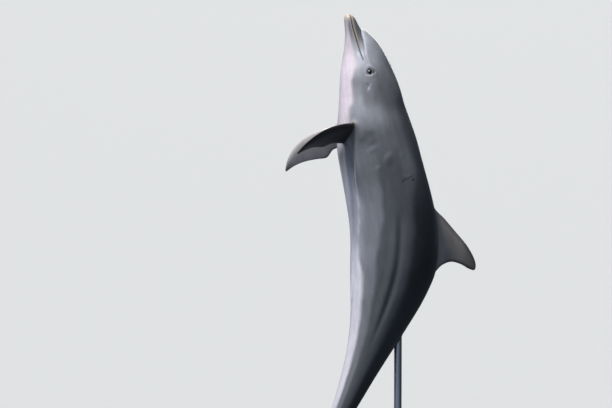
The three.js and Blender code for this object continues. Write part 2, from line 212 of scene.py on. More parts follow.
def ridge(off, height, middle, reach):
    """A ridge beside a line, or a groove where its height is below 0: a bell curve over the distance off the
    line, with its middle that far from the line."""
    return height * bell(off - middle, reach)


def greatest(*values):
    """The greatest of several values at each point."""
    return reduce(np.maximum, values)


def patch(at, turn, height, place, along, middle, around):
    """A soft patch of the skin: a bell curve along the body about a place, times one round the body about a
    turn."""
    return height * bell(at - place, along) * bell(turn - middle, around)


def beside(turn, reach=45):
    """Where the skin lies within that many degrees of the middle of the animal's side."""
    return np.abs(np.abs(turn) - 90) < reach


lean, back, belly, side = (body_line(i) for i in (1, 2, 3, 4))
bridge = softened(curve_through(BRIDGE))
melon_side = softened(curve_through(MELON_SIDE))
keel = curve_through(KEEL_SHARPNESS)
mouth = curve_through(MOUTH)

# ---- Spine: the lean summed up along the length ----
SPINE_STEPS = 800
plain_lean = curve_through([row[:2] for row in LINES])
slope_steps = np.radians(plain_lean((np.arange(SPINE_STEPS) + 0.5) * 100 / SPINE_STEPS))
step_ways = np.stack([np.sin(slope_steps), 0 * slope_steps, -np.cos(slope_steps)], 1)
spine_points = BEAK_TIP + np.vstack([np.zeros(3), np.cumsum(step_ways, 0)]) * BODY_LENGTH / SPINE_STEPS
spine_places = np.linspace(0, 100, SPINE_STEPS + 1)


def spine_at(at):
    """The spine's point at each place, the way it runs towards the tail, and the way towards the back."""
    at = np.asarray(at, float)
    point = np.stack([np.interp(at, spine_places, spine_points[:, i]) for i in range(3)], -1)
    slope = np.radians(lean(at))
    zero = 0 * slope
    along = np.stack([np.sin(slope), zero, -np.cos(slope)], -1)
    dorsal = np.stack([np.cos(slope), zero, np.sin(slope)], -1)
    beyond = at - np.clip(at, 0, 100)
    return point + along * (beyond * PERCENT)[..., None], along, dorsal


def end_rounding(at):
    """Rounds off the two ends over each end's length: the tail with a quarter ellipse, the beak more
    bluntly."""

    def quarter(depth, power):
        return np.maximum(0, 1 - (1 - np.clip(depth, 0, 1)) ** power) ** (1 / power)

    return quarter(at / TIP_ROUNDING, 2.5) * quarter((TAIL_END - at) / TAIL_ROUNDING, 2)


TURN_OFFSETS = np.linspace(-0.9, 0.9, 9)  # where the section is sampled to average its crease away


def section_radius(at, turn):
    """Distance from the spine to the skin at a turn, in degrees from the back. Skull and body are a rounded
    superellipse, (up/height)^n + (out/side)^n = 1 on the radius, and the melon is an ellipse whose centre
    lies above the spine. The outer of the two shows, and the crease between them is averaged away over more
    and more of the turn towards the nape."""
    top = blended(bridge(at), back(at), swell(*SKULL_TO_BACK, at))
    n, low, wide, melon_wide = keel(at), belly(at), side(at), melon_side(at)
    centre = MELON_CENTRE * back(at)
    tall = back(at) - centre
    soft = 0.08 + 0.9 * (at - MELON_FRONT) / (MELON_BACK - MELON_FRONT)
    fade = swell(MELON_GONE, CREASE_WHOLE, at)

    def radius(turn):
        up = np.cos(np.radians(turn))
        out = np.abs(np.sin(np.radians(turn)))
        core = (np.abs(up / np.where(up > 0, top, low)) ** n + (out / wide) ** n) ** (-1 / n)
        spread = (up / tall) ** 2 + (out / melon_wide) ** 2
        shift = centre * up / tall**2
        melon = (shift + np.sqrt(shift**2 + (1 - (centre / tall) ** 2) * spread)) / spread
        outer = np.maximum(core, melon)
        both = (core + melon + np.sqrt((core - melon) ** 2 + soft**2)) / 2 - soft * 0.25
        over = outer + fade * np.maximum(both - outer, 0)
        return blended(core, over, (at > MELON_FRONT) * swell(MELON_GONE, MELON_WHOLE, at))

    reach = 1.5 + 26 * swell(4.5, 12.5, at)
    weights = 1 - TURN_OFFSETS**2
    sides = zip(TURN_OFFSETS, weights / weights.sum())
    return sum(w * radius(turn + o * reach) for o, w in sides) * end_rounding(at)


def plain_skin(at, turn):
    """The smooth skin's point at a place and turn: out from the spine by the section's radius, slanted at the
    beak's end so that the lower jaw reaches further."""
    point, along, dorsal = spine_at(at)
    reach = section_radius(at, turn) * PERCENT
    up = (np.cos(np.radians(turn)) * reach)[..., None]
    slant = (UNDERBITE * np.maximum(0, 1 - at / UNDERBITE_LENGTH))[..., None]
    point = point + dorsal * up + along * slant * up
    point[..., 1] += np.sin(np.radians(turn)) * reach
    return point


# ---- Relief of the skin, in mm outwards ----
# Ridges and grooves beside a line, each as (height, distance from the line to its middle, reach) in mm.
UPPER_LIP, LOWER_LIP = (0.8, 4.6, 2.6), (1.2, -4.8, 3.2)
UPPER_PAD, LOWER_PAD = (2.2, 11, 6), (2.6, -15, 7)
MOUTH_END = (-1.2, 0, 4)
MELON_CREASE, MELON_LIP = (-2.6, 0, 3.2), (1.5, 8, 5)
EAR_HOLE, EAR_HOLLOW, EAR_FOLD = (-2.4, 0, 1.9), (-0.9, 0, 11), (0.9, 0, 5.5)
BLOWHOLE_SLIT, BLOWHOLE_PLUG, BLOWHOLE_RIM = (-6.5, 0, 2.3), (0.9, 0, 26), (1.9, 0, 7)
EYE_FOLD = (1.1, 0, 6)
PADS_AT = 8.75
MOUTH_DEPTH = 4.4  # mm, of the mouth's line at the beak's tip
BROW_HEIGHT, BROW_AT = 3.2, 4.35  # mm, and place, of the melon's swelling above the beak


def from_line(at, height, line):
    """Distance in mm from each point of the skin, seen from the side, to the nearest of the straight pieces
    that join a line's (at, height) pairs."""
    line = np.array(line, float)
    best = np.full(np.shape(at), 1e9)
    for a, b in zip(line[:-1], line[1:]):
        run = b - a
        t = np.clip(((at - a[0]) * run[0] + (height - a[1]) * run[1]) / (run @ run), 0, 1)
        best = np.minimum(best, np.hypot(at - a[0] - t * run[0], height - a[1] - t * run[1]))
    return best * PERCENT_IN_MM


def over_mouth(at, height):
    """Distance in mm from the mouth's line, above it positive and below it negative."""
    return (height - mouth(at)) * PERCENT_IN_MM


def mouth_relief(at, height):
    """A groove along the mouth's line, shallower at the tip and gone past the corner, a rounded lip on each
    side of it, the lower one fuller, and two soft pads where the lips meet at the corner."""
    off = over_mouth(at, height)
    open_part = swell(MOUTH_CORNER + 0.35, MOUTH_CORNER - 0.5, at)
    depth = MOUTH_DEPTH - 0.4 * swell(0.3, 3, at) - 1.6 * swell(7.5, 9.8, at)
    groove = -depth * bell(off, 1.6 + 0.8 * swell(1, 4, at))
    lips = ridge(off, *UPPER_LIP) + ridge(off, *LOWER_LIP)
    jaw = -0.7 * swell(0, 3, off) * bell(off, 16)
    pads = (ridge(off, *UPPER_PAD) + ridge(off, *LOWER_PAD)) * bell(at - PADS_AT, 0.75)
    end = ridge(np.hypot((at - MOUTH_CORNER - 0.1) * PERCENT_IN_MM, off), *MOUTH_END)
    return open_part * (groove + lips + jaw) + pads + end


def crease_relief(at, height):
    """A groove round the front of the melon and down its side towards the mouth's corner, with the melon's
    edge swelling a little behind it. The groove follows a smooth curve through the crease's points."""
    share = np.linspace(0, 1, len(CREASE))
    fine = np.linspace(0, 1, 24)
    line = [curve_through(list(zip(share, column)))(fine) for column in np.array(CREASE).T]
    off = from_line(at, height, np.stack(line, 1))
    strength = 1 - 0.75 * swell(5.5, 9, at)
    brow = BROW_HEIGHT * bell(at - BROW_AT, 0.65) * swell(1.2, 2.2, height)
    return strength * (ridge(off, *MELON_CREASE) + ridge(off, *MELON_LIP)) + brow


def eye_place(at, height):
    """The skin round the eye as (share of the way out to the lids' edge, mm from the eye's axis, mm towards
    the back). The opening is an almond whose ends point to the beak and to the tail: the share is the root of
    the sum of the powers of length over half-length and height over half-height."""
    along = (at - EYE_AT) * PERCENT_IN_MM
    up = (height - EYE_HEIGHT) * PERCENT_IN_MM
    tilt = np.radians(LIDS_TILT)
    ahead = along + LIDS_AHEAD
    long = ahead * np.cos(tilt) + up * np.sin(tilt)
    tall = up * np.cos(tilt) - ahead * np.sin(tilt)
    power = LIDS_POWER
    share = (np.abs(long / LIDS_LONG) ** power + np.abs(tall / LIDS_TALL) ** power) ** (1 / power)
    return share, np.hypot(along, up), tall


# Height in mm of the lids' swelling over the share of the way out to their edge.
LID_SWELLING = curve_through([(0, 1.0), (1, 1.6), (1.3, 2.5), (1.7, 2.1), (2.4, 0.9), (3.4, 0.3), (4.4, 0)])


def behind_eye(at, height):
    """Distance in mm from the curved fold that runs across behind the eye."""
    along = (at - EYE_AT) * PERCENT_IN_MM
    up = (height - EYE_HEIGHT) * PERCENT_IN_MM - 2
    return np.hypot(along - 17.5 + 0.0095 * up**2, np.maximum(np.abs(up) - 26, 0))


def eye_relief(at, height, turn):
    """Lids that hug the eyeball and swell round it, the upper one most, a low fold behind the eye, and inside
    them a socket whose floor runs just under the eyeball and shows at the two corners."""
    share, off, up = eye_place(at, height)
    ball = np.sqrt(np.maximum(0, EYE_RADIUS**2 - off**2)) + EYE_PROUD - EYE_RADIUS
    fold = LID_SWELLING(share) * (1 + UPPER_LID_MORE * np.clip(up / 12, -1, 1))
    fold += ridge(behind_eye(at, height), *EYE_FOLD) * swell(1, 1.5, share)
    hug = ball + LIDS_OVER_BALL
    outer = (fold + hug + np.sqrt((fold - hug) ** 2 + 0.6)) / 2
    lids = np.where(off < EYE_RADIUS - 1, outer, fold)
    drop = np.clip((1 - share) * LIDS_DROP, 0, 60)
    inside = np.maximum(lids - drop, np.maximum(ball - 2, SOCKET_FLOOR))
    near = beside(turn) & (share < 4.4)
    return np.where(near, np.where(share < 1, inside, lids), 0)


# The ear's pinhole and the fold behind it, as (at, height).
EAR = (15.05, -1.35)
EAR_STREAK = [(15.15, -0.55), (15.7, -1.2), (16.5, -1.75)]


def from_ear(at, height):
    """Distance in mm from the ear's pinhole, seen from the side."""
    return np.hypot(at - EAR[0], height - EAR[1]) * PERCENT_IN_MM


def ear_relief(at, height, turn):
    """A pinhole behind the eye in a faint hollow, and a short fold behind it."""
    relief = ridge(from_line(at, height, EAR_STREAK), *EAR_FOLD)
    relief += ridge(from_ear(at, height), *EAR_HOLE) + ridge(from_ear(at, height), *EAR_HOLLOW)
    return np.where(beside(turn), relief, 0)


BLOWHOLE_AT = 12.95
BLOWHOLE_RADIUS = 25  # mm, of the slit's arc
BLOWHOLE_DEEP = 21  # mm from the slit forward to the ends of its arc


def blowhole_place(at, across):
    """Distance in mm from the blowhole's curved slit: half a circle round a point ahead of it, whose ends
    point to the beak, with the distance past either end counted on top."""
    ahead = (BLOWHOLE_AT - at) * PERCENT_IN_MM - BLOWHOLE_DEEP
    wide = across * PERCENT_IN_MM
    ring = np.hypot(wide, np.minimum(ahead, 0)) - BLOWHOLE_RADIUS
    ends = np.maximum(0, np.abs(wide) - BLOWHOLE_DEEP)
    return np.hypot(np.hypot(ring, 2 * ends), np.maximum(ahead, 0))


def blowhole_relief(at, across, turn):
    """A deep narrow slit, a rounded rim behind it and the low plug in front of it."""
    off = blowhole_place(at, across)
    relief = ridge(np.maximum(off - 4, 0), *BLOWHOLE_RIM) + ridge(off, *BLOWHOLE_PLUG)
    return np.where(np.abs(turn) < 40, relief + ridge(off, *BLOWHOLE_SLIT), 0)


# Marks along the belly's middle, from navel to slit to vent. Each row: at, half its straight run, how many
# times longer than wide, height and reach in mm of the swelling round it, depth and reach in mm of its pit.
BELLY_MARKS = [
    (44.6, 0, 1.6, 0.8, 20, 3.2, 8),
    (62.2, 1.9, 1, 2.6, 26, 5.5, 6),
    (67.0, 0, 1.5, 1.2, 18, 4, 6),
]


def belly_relief(at, across, turn):
    """A small navel, the long slit on the belly before the tail stock and the small vent behind it: for each,
    a bell curve outwards less a narrower one inwards, both over the distance from its straight run."""
    wide = across * PERCENT_IN_MM
    relief = 0
    for place, straight, longer, swelling, swelling_reach, depth, pit_reach in BELLY_MARKS:
        off = np.hypot(np.maximum(np.abs(at - place) - straight, 0) * PERCENT_IN_MM / longer, wide)
        relief = relief + swelling * bell(off, swelling_reach) - depth * bell(off, pit_reach)
    return np.where(np.abs(turn) > 140, relief, 0)


TURN_SHARE = 0.143  # percent of the length that one degree of turn covers on the flank
# The swelling where a flipper joins: its height in mm, its place and reach along the body, its turn and reach
# round it.
SHOULDER = (5, 26.5, 4.5, 128, 17)
# Hollows and ridges that slant down the flank. Each row: height in mm, the place and turn it passes through,
# degrees of turn gained in each percent, half-width in degrees, and the places where it begins, is full, is
# still full and has gone.
FLANK_LINES = [
    (-7.0, 43.85, 90.2, 0.5, 6, 41, 48, 62, 76),
    (-2.6, 43.5, 104.5, 0.85, 5, 41, 48, 62, 76),
    (2.4, 43.5, 98, 0.6, 5, 41, 48, 62, 76),
    (-2.6, 37, 106, 1, 6, 33, 38, 54, 66),
]


def flank_relief(at, turn):
    """Shallow hollows that run down the flank between the muscles of the back, the flank and the belly, each
    a bell curve across a slanting line, and the swelling where a flipper joins."""
    turn = np.abs(turn)
    relief = patch(at, turn, *SHOULDER)
    for height, place, middle, slant, reach, begin, full, fading, gone in FLANK_LINES:
        present = swell(begin, full, at) * swell(gone, fading, at)
        relief += height * present * bell(turn - middle - slant * (at - place), reach)
    return relief


# Slanting folds of the flank behind the left flipper, each from (at, turn) to (at, turn), with its half-width
# and height in metres.
FOLDS = [
    ((29.6, 127), (28.0, 103), 0.020, 0.0032),
    ((28.4, 122), (26.8, 98), 0.026, -0.0013),
    ((32.4, 105), (29.6, 82), 0.022, 0.0028),
    ((34.2, 101), (31.0, 79), 0.026, -0.0014),
    ((33.6, 117), (32.1, 103), 0.018, 0.0022),
    ((25.2, 125), (26.0, 101), 0.034, -0.0022),
    ((27.2, 137), (26.2, 118), 0.030, -0.0020),
    ((32.6, 76), (29.9, 67), 0.014, 0.0010),
    ((35.3, 82), (36.6, 56), 0.018, 0.0010),
]
FOLDS_IN_MESH = 0.7  # share of their height that the mesh has, the rest is in the skin's fine relief


def left_side(places):
    """Points of the plain skin at (at, turn) places on the animal's left side."""
    at, turn = np.array(places, float).T
    return plain_skin(at, -turn)


def fold_relief(points):
    """Soft folds and hollows between two points each: the fold's height, falling away in an S-curve over its
    half-width from the line between them, and towards both ends of the line."""
    relief = 0
    for *places, reach, rise in FOLDS:
        start, end = left_side(places)
        way = end - start
        share = np.clip((points - start) @ way / (way @ way), 0, 1)
        off = np.linalg.norm(points - start - share[..., None] * way, axis=-1)
        relief = relief + rise * swell(1.15 * reach, 0, off) * swell(0.5, 0, np.abs(share - 0.5))
    return FOLDS_IN_MESH * relief / MM


def soft_unevenness(point):
    """The slight unevenness of living flesh: a few long crossing waves, about a millimetre high."""
    x, y, z = np.moveaxis(point, -1, 0)
    waves = np.sin(11 * x + 7 * z + 1.1) + np.sin(13 * y - 9 * z + 0.4) + np.sin(17 * z + 5 * y) * 0.8
    waves += 0.6 * np.sin(29 * z + 21 * x + 2) * np.sin(23 * y + 1)
    return 0.55 * waves


# ---- Grid of the body ----
NOSE_RINGS, TAIL_RINGS = 18, 9  # over the rounding of the two ends
# How far apart its rings and its columns lie, as (place, spacing) in percent and (turn, spacing) in degrees:
# closest at the eye, close over the face and the flipper's folds, and along the middles of back and belly.
STATION_SPACING = [
    (1.5, 0.085), (9.5, 0.1), (10.9, 0.08), (11.6, 0.05), (13.6, 0.05), (14.2, 0.08), (15.5, 0.09),
    (17, 0.22), (22, 0.4), (25, 0.32), (36, 0.34), (40, 0.45), (57, 0.47), (69, 0.44), (97.7, 0.5),
]
TURN_SPACING = [
    (0, 1), (8, 1.1), (14, 3), (20, 4.4), (68, 4.2), (78, 0.62), (102, 0.62),
    (110, 2.4), (138, 2.8), (150, 4.2), (162, 4.4), (172, 1.5), (180, 1.4),
]


def spread_out(spacing):
    """Places from the first to the last of (place, spacing) pairs, about that far apart along the way."""
    places, gaps = np.array(spacing, float).T
    fine = np.linspace(places[0], places[-1], 4001)
    count = np.cumsum(1 / np.interp(fine, places, gaps)) * (fine[1] - fine[0])
    wanted = np.linspace(count[0], count[-1], int(round(count[-1])) + 1)
    return np.interp(wanted, count, fine)


def body_grid():
    """Places and turns of the body's grid. The fine columns follow the mouth along the beak and pass through
    the eye behind it."""
    nose = TIP_ROUNDING * (1 - np.cos(np.radians(np.linspace(4, 90, NOSE_RINGS))))
    tail = TAIL_END - TAIL_ROUNDING * (1 - np.cos(np.radians(np.linspace(90, 5, TAIL_RINGS))))
    at = np.concatenate([nose[:-1], spread_out(STATION_SPACING)[:-1], tail])
    half = spread_out(TURN_SPACING)
    half = np.concatenate([half, 360 - half[-2:0:-1]])
    low = np.maximum(-mouth(at), 0)
    line = 90 + np.degrees(np.arctan2(low, side(at) * np.maximum(end_rounding(at), 0.35)))
    line = blended(90, line, swell(11.6, 9.4, at))
    folded = np.minimum(half, 360 - half)
    push = swell(18, 74, folded) * swell(164, 104, folded)
    turn = folded + (line[:, None] - 90) * push
    turn = np.where(half <= 180, turn, 360 - turn)
    return at[:, None], (turn + 180) % 360 - 180


def drawn_to_lids(at, turn):
    """The grid's places and turns, with those near the edge of the lids' opening drawn closer to it, each on
    its own line from the opening's middle, so that the edge comes out even."""
    at = at + 0 * turn
    radius = section_radius(at[:, :1], turn)
    height = np.cos(np.radians(turn)) * radius
    share, _, _ = eye_place(at, height)
    near = beside(turn, 30) & (share < 2)
    pull = -0.85 * (share - 1) * bell(share - 1, 0.13)
    move = np.where(near, pull / np.maximum(share, 0.3), 0)
    middle = EYE_AT - LIDS_AHEAD / PERCENT_IN_MM
    rise = (height - EYE_HEIGHT) * move
    turned = turn - np.degrees(rise / radius) * np.sign(turn)
    return at + (at - middle) * move, turned


def grid_normals(points):
    """The way out of a closed grid: across the two ways along its rows and columns."""
    down = np.gradient(points, axis=0)
    around = np.roll(points, -1, 1) - np.roll(points, 1, 1)
    out = np.cross(down, around)
    out /= np.maximum(np.linalg.norm(out, axis=2, keepdims=True), 1e-12)
    middle = points.mean(1, keepdims=True)
    return out * np.sign(((points - middle) * out).sum())


def body_points():
    """The skin's grid: the plain skin, moved out along its normals by the sum of all the relief."""
    at, turn = drawn_to_lids(*body_grid())
    points = plain_skin(at, turn)
    radius = section_radius(at, turn)
    height = np.cos(np.radians(turn)) * radius
    across = np.sin(np.radians(turn)) * radius
    relief = mouth_relief(at, height) + crease_relief(at, height) + eye_relief(at, height, turn)
    relief += ear_relief(at, height, turn)
    relief += blowhole_relief(at, across, turn) + belly_relief(at, across, turn)
    relief += fold_relief(points) + flank_relief(at, turn)
    relief += soft_unevenness(points) * swell(12, 24, at) * swell(98, 90, at)
    return points + grid_normals(points) * (relief * MM)[..., None]


# ---- Meshes ----
def mesh_object(name, points, faces):
    """A smooth-shaded mesh from points and arrays of faces, one array for each number of corners."""
    mesh = bpy.data.meshes.new(name)
    mesh.vertices.add(len(points))
    mesh.vertices.foreach_set("co", np.ascontiguousarray(points, np.float32).ravel())
    corners = np.concatenate([f.ravel() for f in faces])
    sizes = np.concatenate([np.full(len(f), f.shape[1]) for f in faces])
    starts = np.concatenate([[0], np.cumsum(sizes)[:-1]])
    mesh.loops.add(len(corners))
    mesh.loops.foreach_set("vertex_index", corners.astype(np.int32))
    mesh.polygons.add(len(starts))
    mesh.polygons.foreach_set("loop_start", starts.astype(np.int32))
    mesh.polygons.foreach_set("use_smooth", np.ones(len(starts), bool))
    mesh.update(calc_edges=True)
    made = bpy.data.objects.new(name, mesh)
    bpy.context.scene.collection.objects.link(made)
    return made


def quads_between(index):
    """The four-cornered faces between neighbouring rows and columns of a grid of point numbers."""
    corners = [index[:-1, :-1], index[1:, :-1], index[1:, 1:], index[:-1, 1:]]
    return np.stack(corners, -1).reshape(-1, 4)


def closed_tube(name, rings, first, last):
    """A closed surface through rings of points, with a fan to a single point at each end, facing outwards."""
    rows, count = rings.shape[:2]
    index = 1 + np.arange(rows * count).reshape(rows, count)
    index = np.concatenate([index, index[:, :1]], 1)
    quads = quads_between(index)
    end = 1 + rows * count
    head = np.stack([np.zeros(count, int), index[0, :-1], index[0, 1:]], 1)
    foot = np.stack([np.full(count, end), index[-1, 1:], index[-1, :-1]], 1)
    points = np.concatenate([[first], rings.reshape(-1, 3), [last]])
    corner = points[quads] - points.mean(0)
    normal = np.cross(corner[:, 2] - corner[:, 0], corner[:, 3] - corner[:, 1])
    if (normal * corner.mean(1)).sum() < 0:
        quads, head, foot = quads[:, ::-1], head[:, ::-1], foot[:, ::-1]
    return mesh_object(name, points, [quads, head, foot])


# ---- Fins ----
def through_points(points, t):
    """A Catmull-Rom curve through evenly timed points, for t from 0 to 1."""
    points = np.array(points, float)
    place = np.clip(t, 0, 1) * (len(points) - 1)
    i = np.minimum(place.astype(int), len(points) - 2)
    w = (place - i)[:, None]
    p0, p1 = points[np.maximum(i - 1, 0)], points[i]
    p2, p3 = points[i + 1], points[np.minimum(i + 2, len(points) - 1)]
    v0, v1 = (p2 - p0) / 2, (p3 - p1) / 2
    return (2 * p1 - 2 * p2 + v0 + v1) * w**3 + (-3 * p1 + 3 * p2 - 2 * v0 - v1) * w**2 + v0 * w + p1


SIDES = {"left": -1, "right": 1}  # which way each side of the animal lies along Y
FLARE_ENDS, TIP_STARTS = 0.22, 0.93  # shares of the way out where the flare has gone and the tip rounds off
# Each kind of fin's thickness at its root and at its tip, and how much thicker its root's flare is.
FIN_SHAPES = {"dorsal": (2.3, 0.35, 0.7), "flipper": (1.75, 0.3, 0.5), "fluke": (1.9, 0.25, 0.35)}
# Each flipper as (side, ribs, place and turn of its root, way out to its tip, way to its trailing edge).
FLIPPERS = [
    (-1, LEFT_FLIPPER_RIBS, 25.0, 149, (-0.912, -0.344, -0.222), (-0.018, 0.576, -0.817)),
    (1, RIGHT_FLIPPER_RIBS, 26.5, 141, (-0.805, 0.31, -0.506), (0.46, 0.127, -0.877)),
]
# The fins are numbered as they are joined: 1 on the back, 2 and 3 the left and right flipper, 4 and 5 the
# left and right fluke. For each, its ribs, the basis it is drawn in and the origin at its root.
fin_frames = []


def fin_object(kind, ribs, out, aft, origin, rings=46, around=48):
    """A blade between its leading and trailing edge. Its section is a flattened oval, thickest ahead of the
    middle, thinning from root to tip, with a flare at the root and a rounded tip."""
    thick, tip_thick, flare = FIN_SHAPES[kind]
    t = np.linspace(0, 1, rings + 1)[:-1]
    t = np.append(t, 1 - 0.6 * (1 - t[-1]) ** np.array([1.25, 1.9]))
    front = through_points([rib[0] for rib in ribs], t)
    rear = through_points([rib[1] for rib in ribs], t)
    ending = np.sqrt(np.maximum(0, 1 - np.clip((t - TIP_STARTS) / (1 - TIP_STARTS), 0, 1) ** 2))
    taper = blended(tip_thick, thick, (1 - t) ** 1.1)
    taper = taper + thick * flare * np.maximum(0, 1 - t / FLARE_ENDS) ** 2
    taper = taper * (0.25 + 0.75 * ending)
    angle = np.linspace(0, 2 * np.pi, around, endpoint=False)
    chord = (1 - np.cos(angle)) / 2
    lift = np.sin(angle) * (1.25 - 0.75 * chord)
    flat = front[:, None] * (1 - chord)[None, :, None] + rear[:, None] * chord[None, :, None]
    local = np.concatenate([flat, (taper[:, None] / 2 * lift[None, :])[..., None]], 2)
    out, aft = np.array(out, float), np.array(aft, float)
    out = out / np.linalg.norm(out)
    aft = aft - out * (aft @ out)
    aft = aft / np.linalg.norm(aft)
    basis = np.stack([out, aft, np.cross(out, aft)]) * PERCENT
    fin_frames.append((ribs, basis, origin))
    ends = [(front[i] + rear[i]) / 2 for i in (0, -1)]
    ends[1] = (np.array(ribs[-1][0]) + np.array(ribs[-1][1])) / 2
    first, last = (np.append(p, 0) @ basis + origin for p in ends)
    return closed_tube(kind, local @ basis + origin, first, last)


def fin_objects():
    """The back's fin, the flippers and the flukes, each on its place of the body and pointing its own way."""
    root, along, dorsal = spine_at(50.0)
    yield fin_object("dorsal", DORSAL_RIBS, dorsal, along, root)
    for sign, ribs, place, turn, out, aft in FLIPPERS:
        root = plain_skin(np.array(place), np.array(sign * turn))
        yield fin_object("flipper", ribs, out, aft, root)
    root, along, dorsal = spine_at(100.0)
    for sign in SIDES.values():
        yield fin_object("fluke", FLUKE_RIBS, (0, sign, 0), along, root)


# ---- One skin from body and fins ----
def values_of(collection, key, width, kind):
    """One property of every item of a mesh's collection, as rows of that width."""
    values = np.zeros(len(collection) * width, kind)
    collection.foreach_get(key, values)
    return values.reshape(-1, width) if width > 1 else values


def set_field(mesh, name, values):
    """Stores one number for each point of the mesh, for its material to read."""
    field = mesh.attributes.new(name, "FLOAT", "POINT")
    field.data.foreach_set("value", np.ascontiguousarray(values, np.float32))


def number_faces(piece, number):
    """Stores that number on every face of a piece."""
    field = piece.data.attributes.new("part", "INT", "FACE")
    field.data.foreach_set("value", np.full(len(piece.data.polygons), number, np.int32))


def joined(body, fins):
    """The body and its fins as one closed mesh, whose faces keep the number of the part they came from."""
    for number, piece in enumerate([body, *fins]):
        number_faces(piece, number)
    for fin in fins:
        union = body.modifiers.new("union", "BOOLEAN")
        union.operation, union.solver, union.object = "UNION", "MANIFOLD", fin
    made = bpy.data.meshes.new_from_object(body.evaluated_get(bpy.context.evaluated_depsgraph_get()))
    for old in [body, *fins]:
        bpy.data.objects.remove(old)
    return made


def part_of_points(mesh):
    """The lowest and the highest part number among the faces round each point."""
    corner_points = values_of(mesh.loops, "vertex_index", 1, np.int32)
    sizes = values_of(mesh.polygons, "loop_total", 1, np.int32)
    part = np.repeat(values_of(mesh.attributes["part"].data, "value", 1, np.int32), sizes)
    low, high = np.full(len(mesh.vertices), 99), np.full(len(mesh.vertices), -1)
    np.minimum.at(low, corner_points, part)
    np.maximum.at(high, corner_points, part)
    return low, high


FILLETS = {1: 62, 2: 50, 3: 50, 4: 44, 5: 44}  # mm over which each numbered fin runs into the body


def fillet(mesh, rounds=34):
    """Evens out the skin where a fin leaves the body: near the seam, each point moves again and again towards
    the middle of its neighbours, less with the distance from the seam. Returns the points, how much of a fin
    each one is, and its part's number."""
    low, high = part_of_points(mesh)
    points = values_of(mesh.vertices, "co", 3, np.float32).astype(float)
    weight, of_fin = np.zeros(len(points)), (low > 0).astype(float)
    for number, reach in FILLETS.items():
        seam = points[(high == number) & (low < number)]
        near = np.flatnonzero(np.all((points > seam.min(0) - 0.1) & (points < seam.max(0) + 0.1), 1))
        gap = np.sqrt(((points[near, None] - seam[None]) ** 2).sum(2).min(1)) / MM
        weight[near] = np.maximum(weight[near], swell(reach, reach * 0.25, gap))
        mine = high[near] == number
        share = swell(-reach * 0.4, reach * 0.9, np.where(mine, gap, -gap))
        of_fin[near] = np.maximum(of_fin[near] * ~mine, share)
    ends = values_of(mesh.edges, "vertices", 2, np.int32)
    count = np.bincount(ends.ravel(), minlength=len(points))[:, None]
    for _ in range(rounds):
        total = np.zeros_like(points)
        for axis in range(3):
            for mine, other in ((0, 1), (1, 0)):
                total[:, axis] += np.bincount(ends[:, mine], points[ends[:, other], axis], len(points))
        points += 0.6 * weight[:, None] * (total / count - points)
    mesh.vertices.foreach_set("co", points.astype(np.float32).ravel())
    mesh.attributes.remove(mesh.attributes["part"])
    mesh.update()
    return points, of_fin, high


def place_on_body(points):
    """For each point: its place along the spine, its height towards the back, its width and its turn from the
    back. The place is where the line to the point stands square on the spine, found in a few even steps."""
    at = np.interp(-points[:, 2], -spine_points[:, 2], spine_places)
    for _ in range(8):
        centre, along, dorsal = spine_at(at)
        at = at + 0.9 * ((points - centre) * along).sum(1) / PERCENT
    centre, along, dorsal = spine_at(at)
    height = ((points - centre) * dorsal).sum(1) / PERCENT
    across = points[:, 1] / PERCENT
    return at, height, across, np.degrees(np.arctan2(np.abs(across), height))


# ---- Markings ----
# The skin's tones, as the share of light it gives back, along the body from (at, tone) pairs. The back's
# darkest tones from about 38 percent on are partly painted shade, and the cape's lighter stretch from about
# 20 to 35 percent is partly painted sheen.
TONES = [
    # belly
    [
        (0, 0.42), (2.5, 0.46), (5, 0.56), (8, 0.63), (11, 0.71), (19, 0.71), (24, 0.54), (34, 0.50),
        (44, 0.53), (52, 0.58), (58, 0.68), (70, 0.62), (100, 0.45),
    ],
    # lower flank
    [
        (0, 0.34), (2.5, 0.20), (4, 0.23), (5.5, 0.31), (7, 0.43), (8.5, 0.53), (10, 0.56), (12, 0.38),
        (14, 0.27), (19, 0.34), (23, 0.22), (26, 0.14), (30.5, 0.168), (34, 0.138), (37.5, 0.178),
        (42, 0.215), (52, 0.20), (100, 0.15),
    ],
    # flank
    [
        (0, 0.26), (2.5, 0.18), (4, 0.155), (5.5, 0.22), (7, 0.38), (8.5, 0.56), (10, 0.48), (12, 0.33),
        (14, 0.24), (18, 0.19), (21, 0.265), (24, 0.215), (26, 0.175), (30, 0.12), (34, 0.092), (38, 0.094),
        (46, 0.096), (52, 0.088), (60, 0.085), (100, 0.08),
    ],
    # cape
    [
        (0, 0.25), (2.5, 0.14), (4, 0.12), (5.5, 0.20), (7, 0.36), (8.5, 0.46), (10, 0.35), (12, 0.23),
        (14, 0.13), (17, 0.105), (20, 0.13), (23, 0.155), (26, 0.145), (33, 0.165), (38, 0.115), (44, 0.085),
        (60, 0.06), (100, 0.06),
    ],
    # back
    [
        (0, 0.22), (4, 0.14), (10, 0.22), (13, 0.15), (19, 0.15), (22, 0.09), (30, 0.09), (38, 0.055),
        (46, 0.030), (54, 0.027), (70, 0.045), (100, 0.045),
    ],
]
# Where each tone gives way to the next, as (at, turn) pairs.
BELLY_EDGE = [
    (0, 128), (2.5, 140), (6, 132), (10, 125), (12, 133), (14, 141), (18, 141), (20, 150), (34, 149),
    (38, 150), (42, 154), (46, 158), (52, 161), (60, 150), (100, 148),
]
LOWER_FLANK_EDGE = [
    (0, 112), (4, 110), (10, 104), (12, 114), (18, 120), (21, 113), (25, 118), (31, 110), (37, 110),
    (42, 114), (46, 119.5), (50, 124), (55, 129), (100, 122),
]
CAPE_EDGE = [(0, 88), (4, 90), (10, 80), (14, 86), (18, 94), (22, 84), (26, 82), (32, 74), (100, 78)]
BACK_EDGE = [
    (0, 60), (12, 56), (18, 50), (22, 57), (34, 50), (37, 54), (41, 66), (48, 73), (60, 77), (100, 80),
]
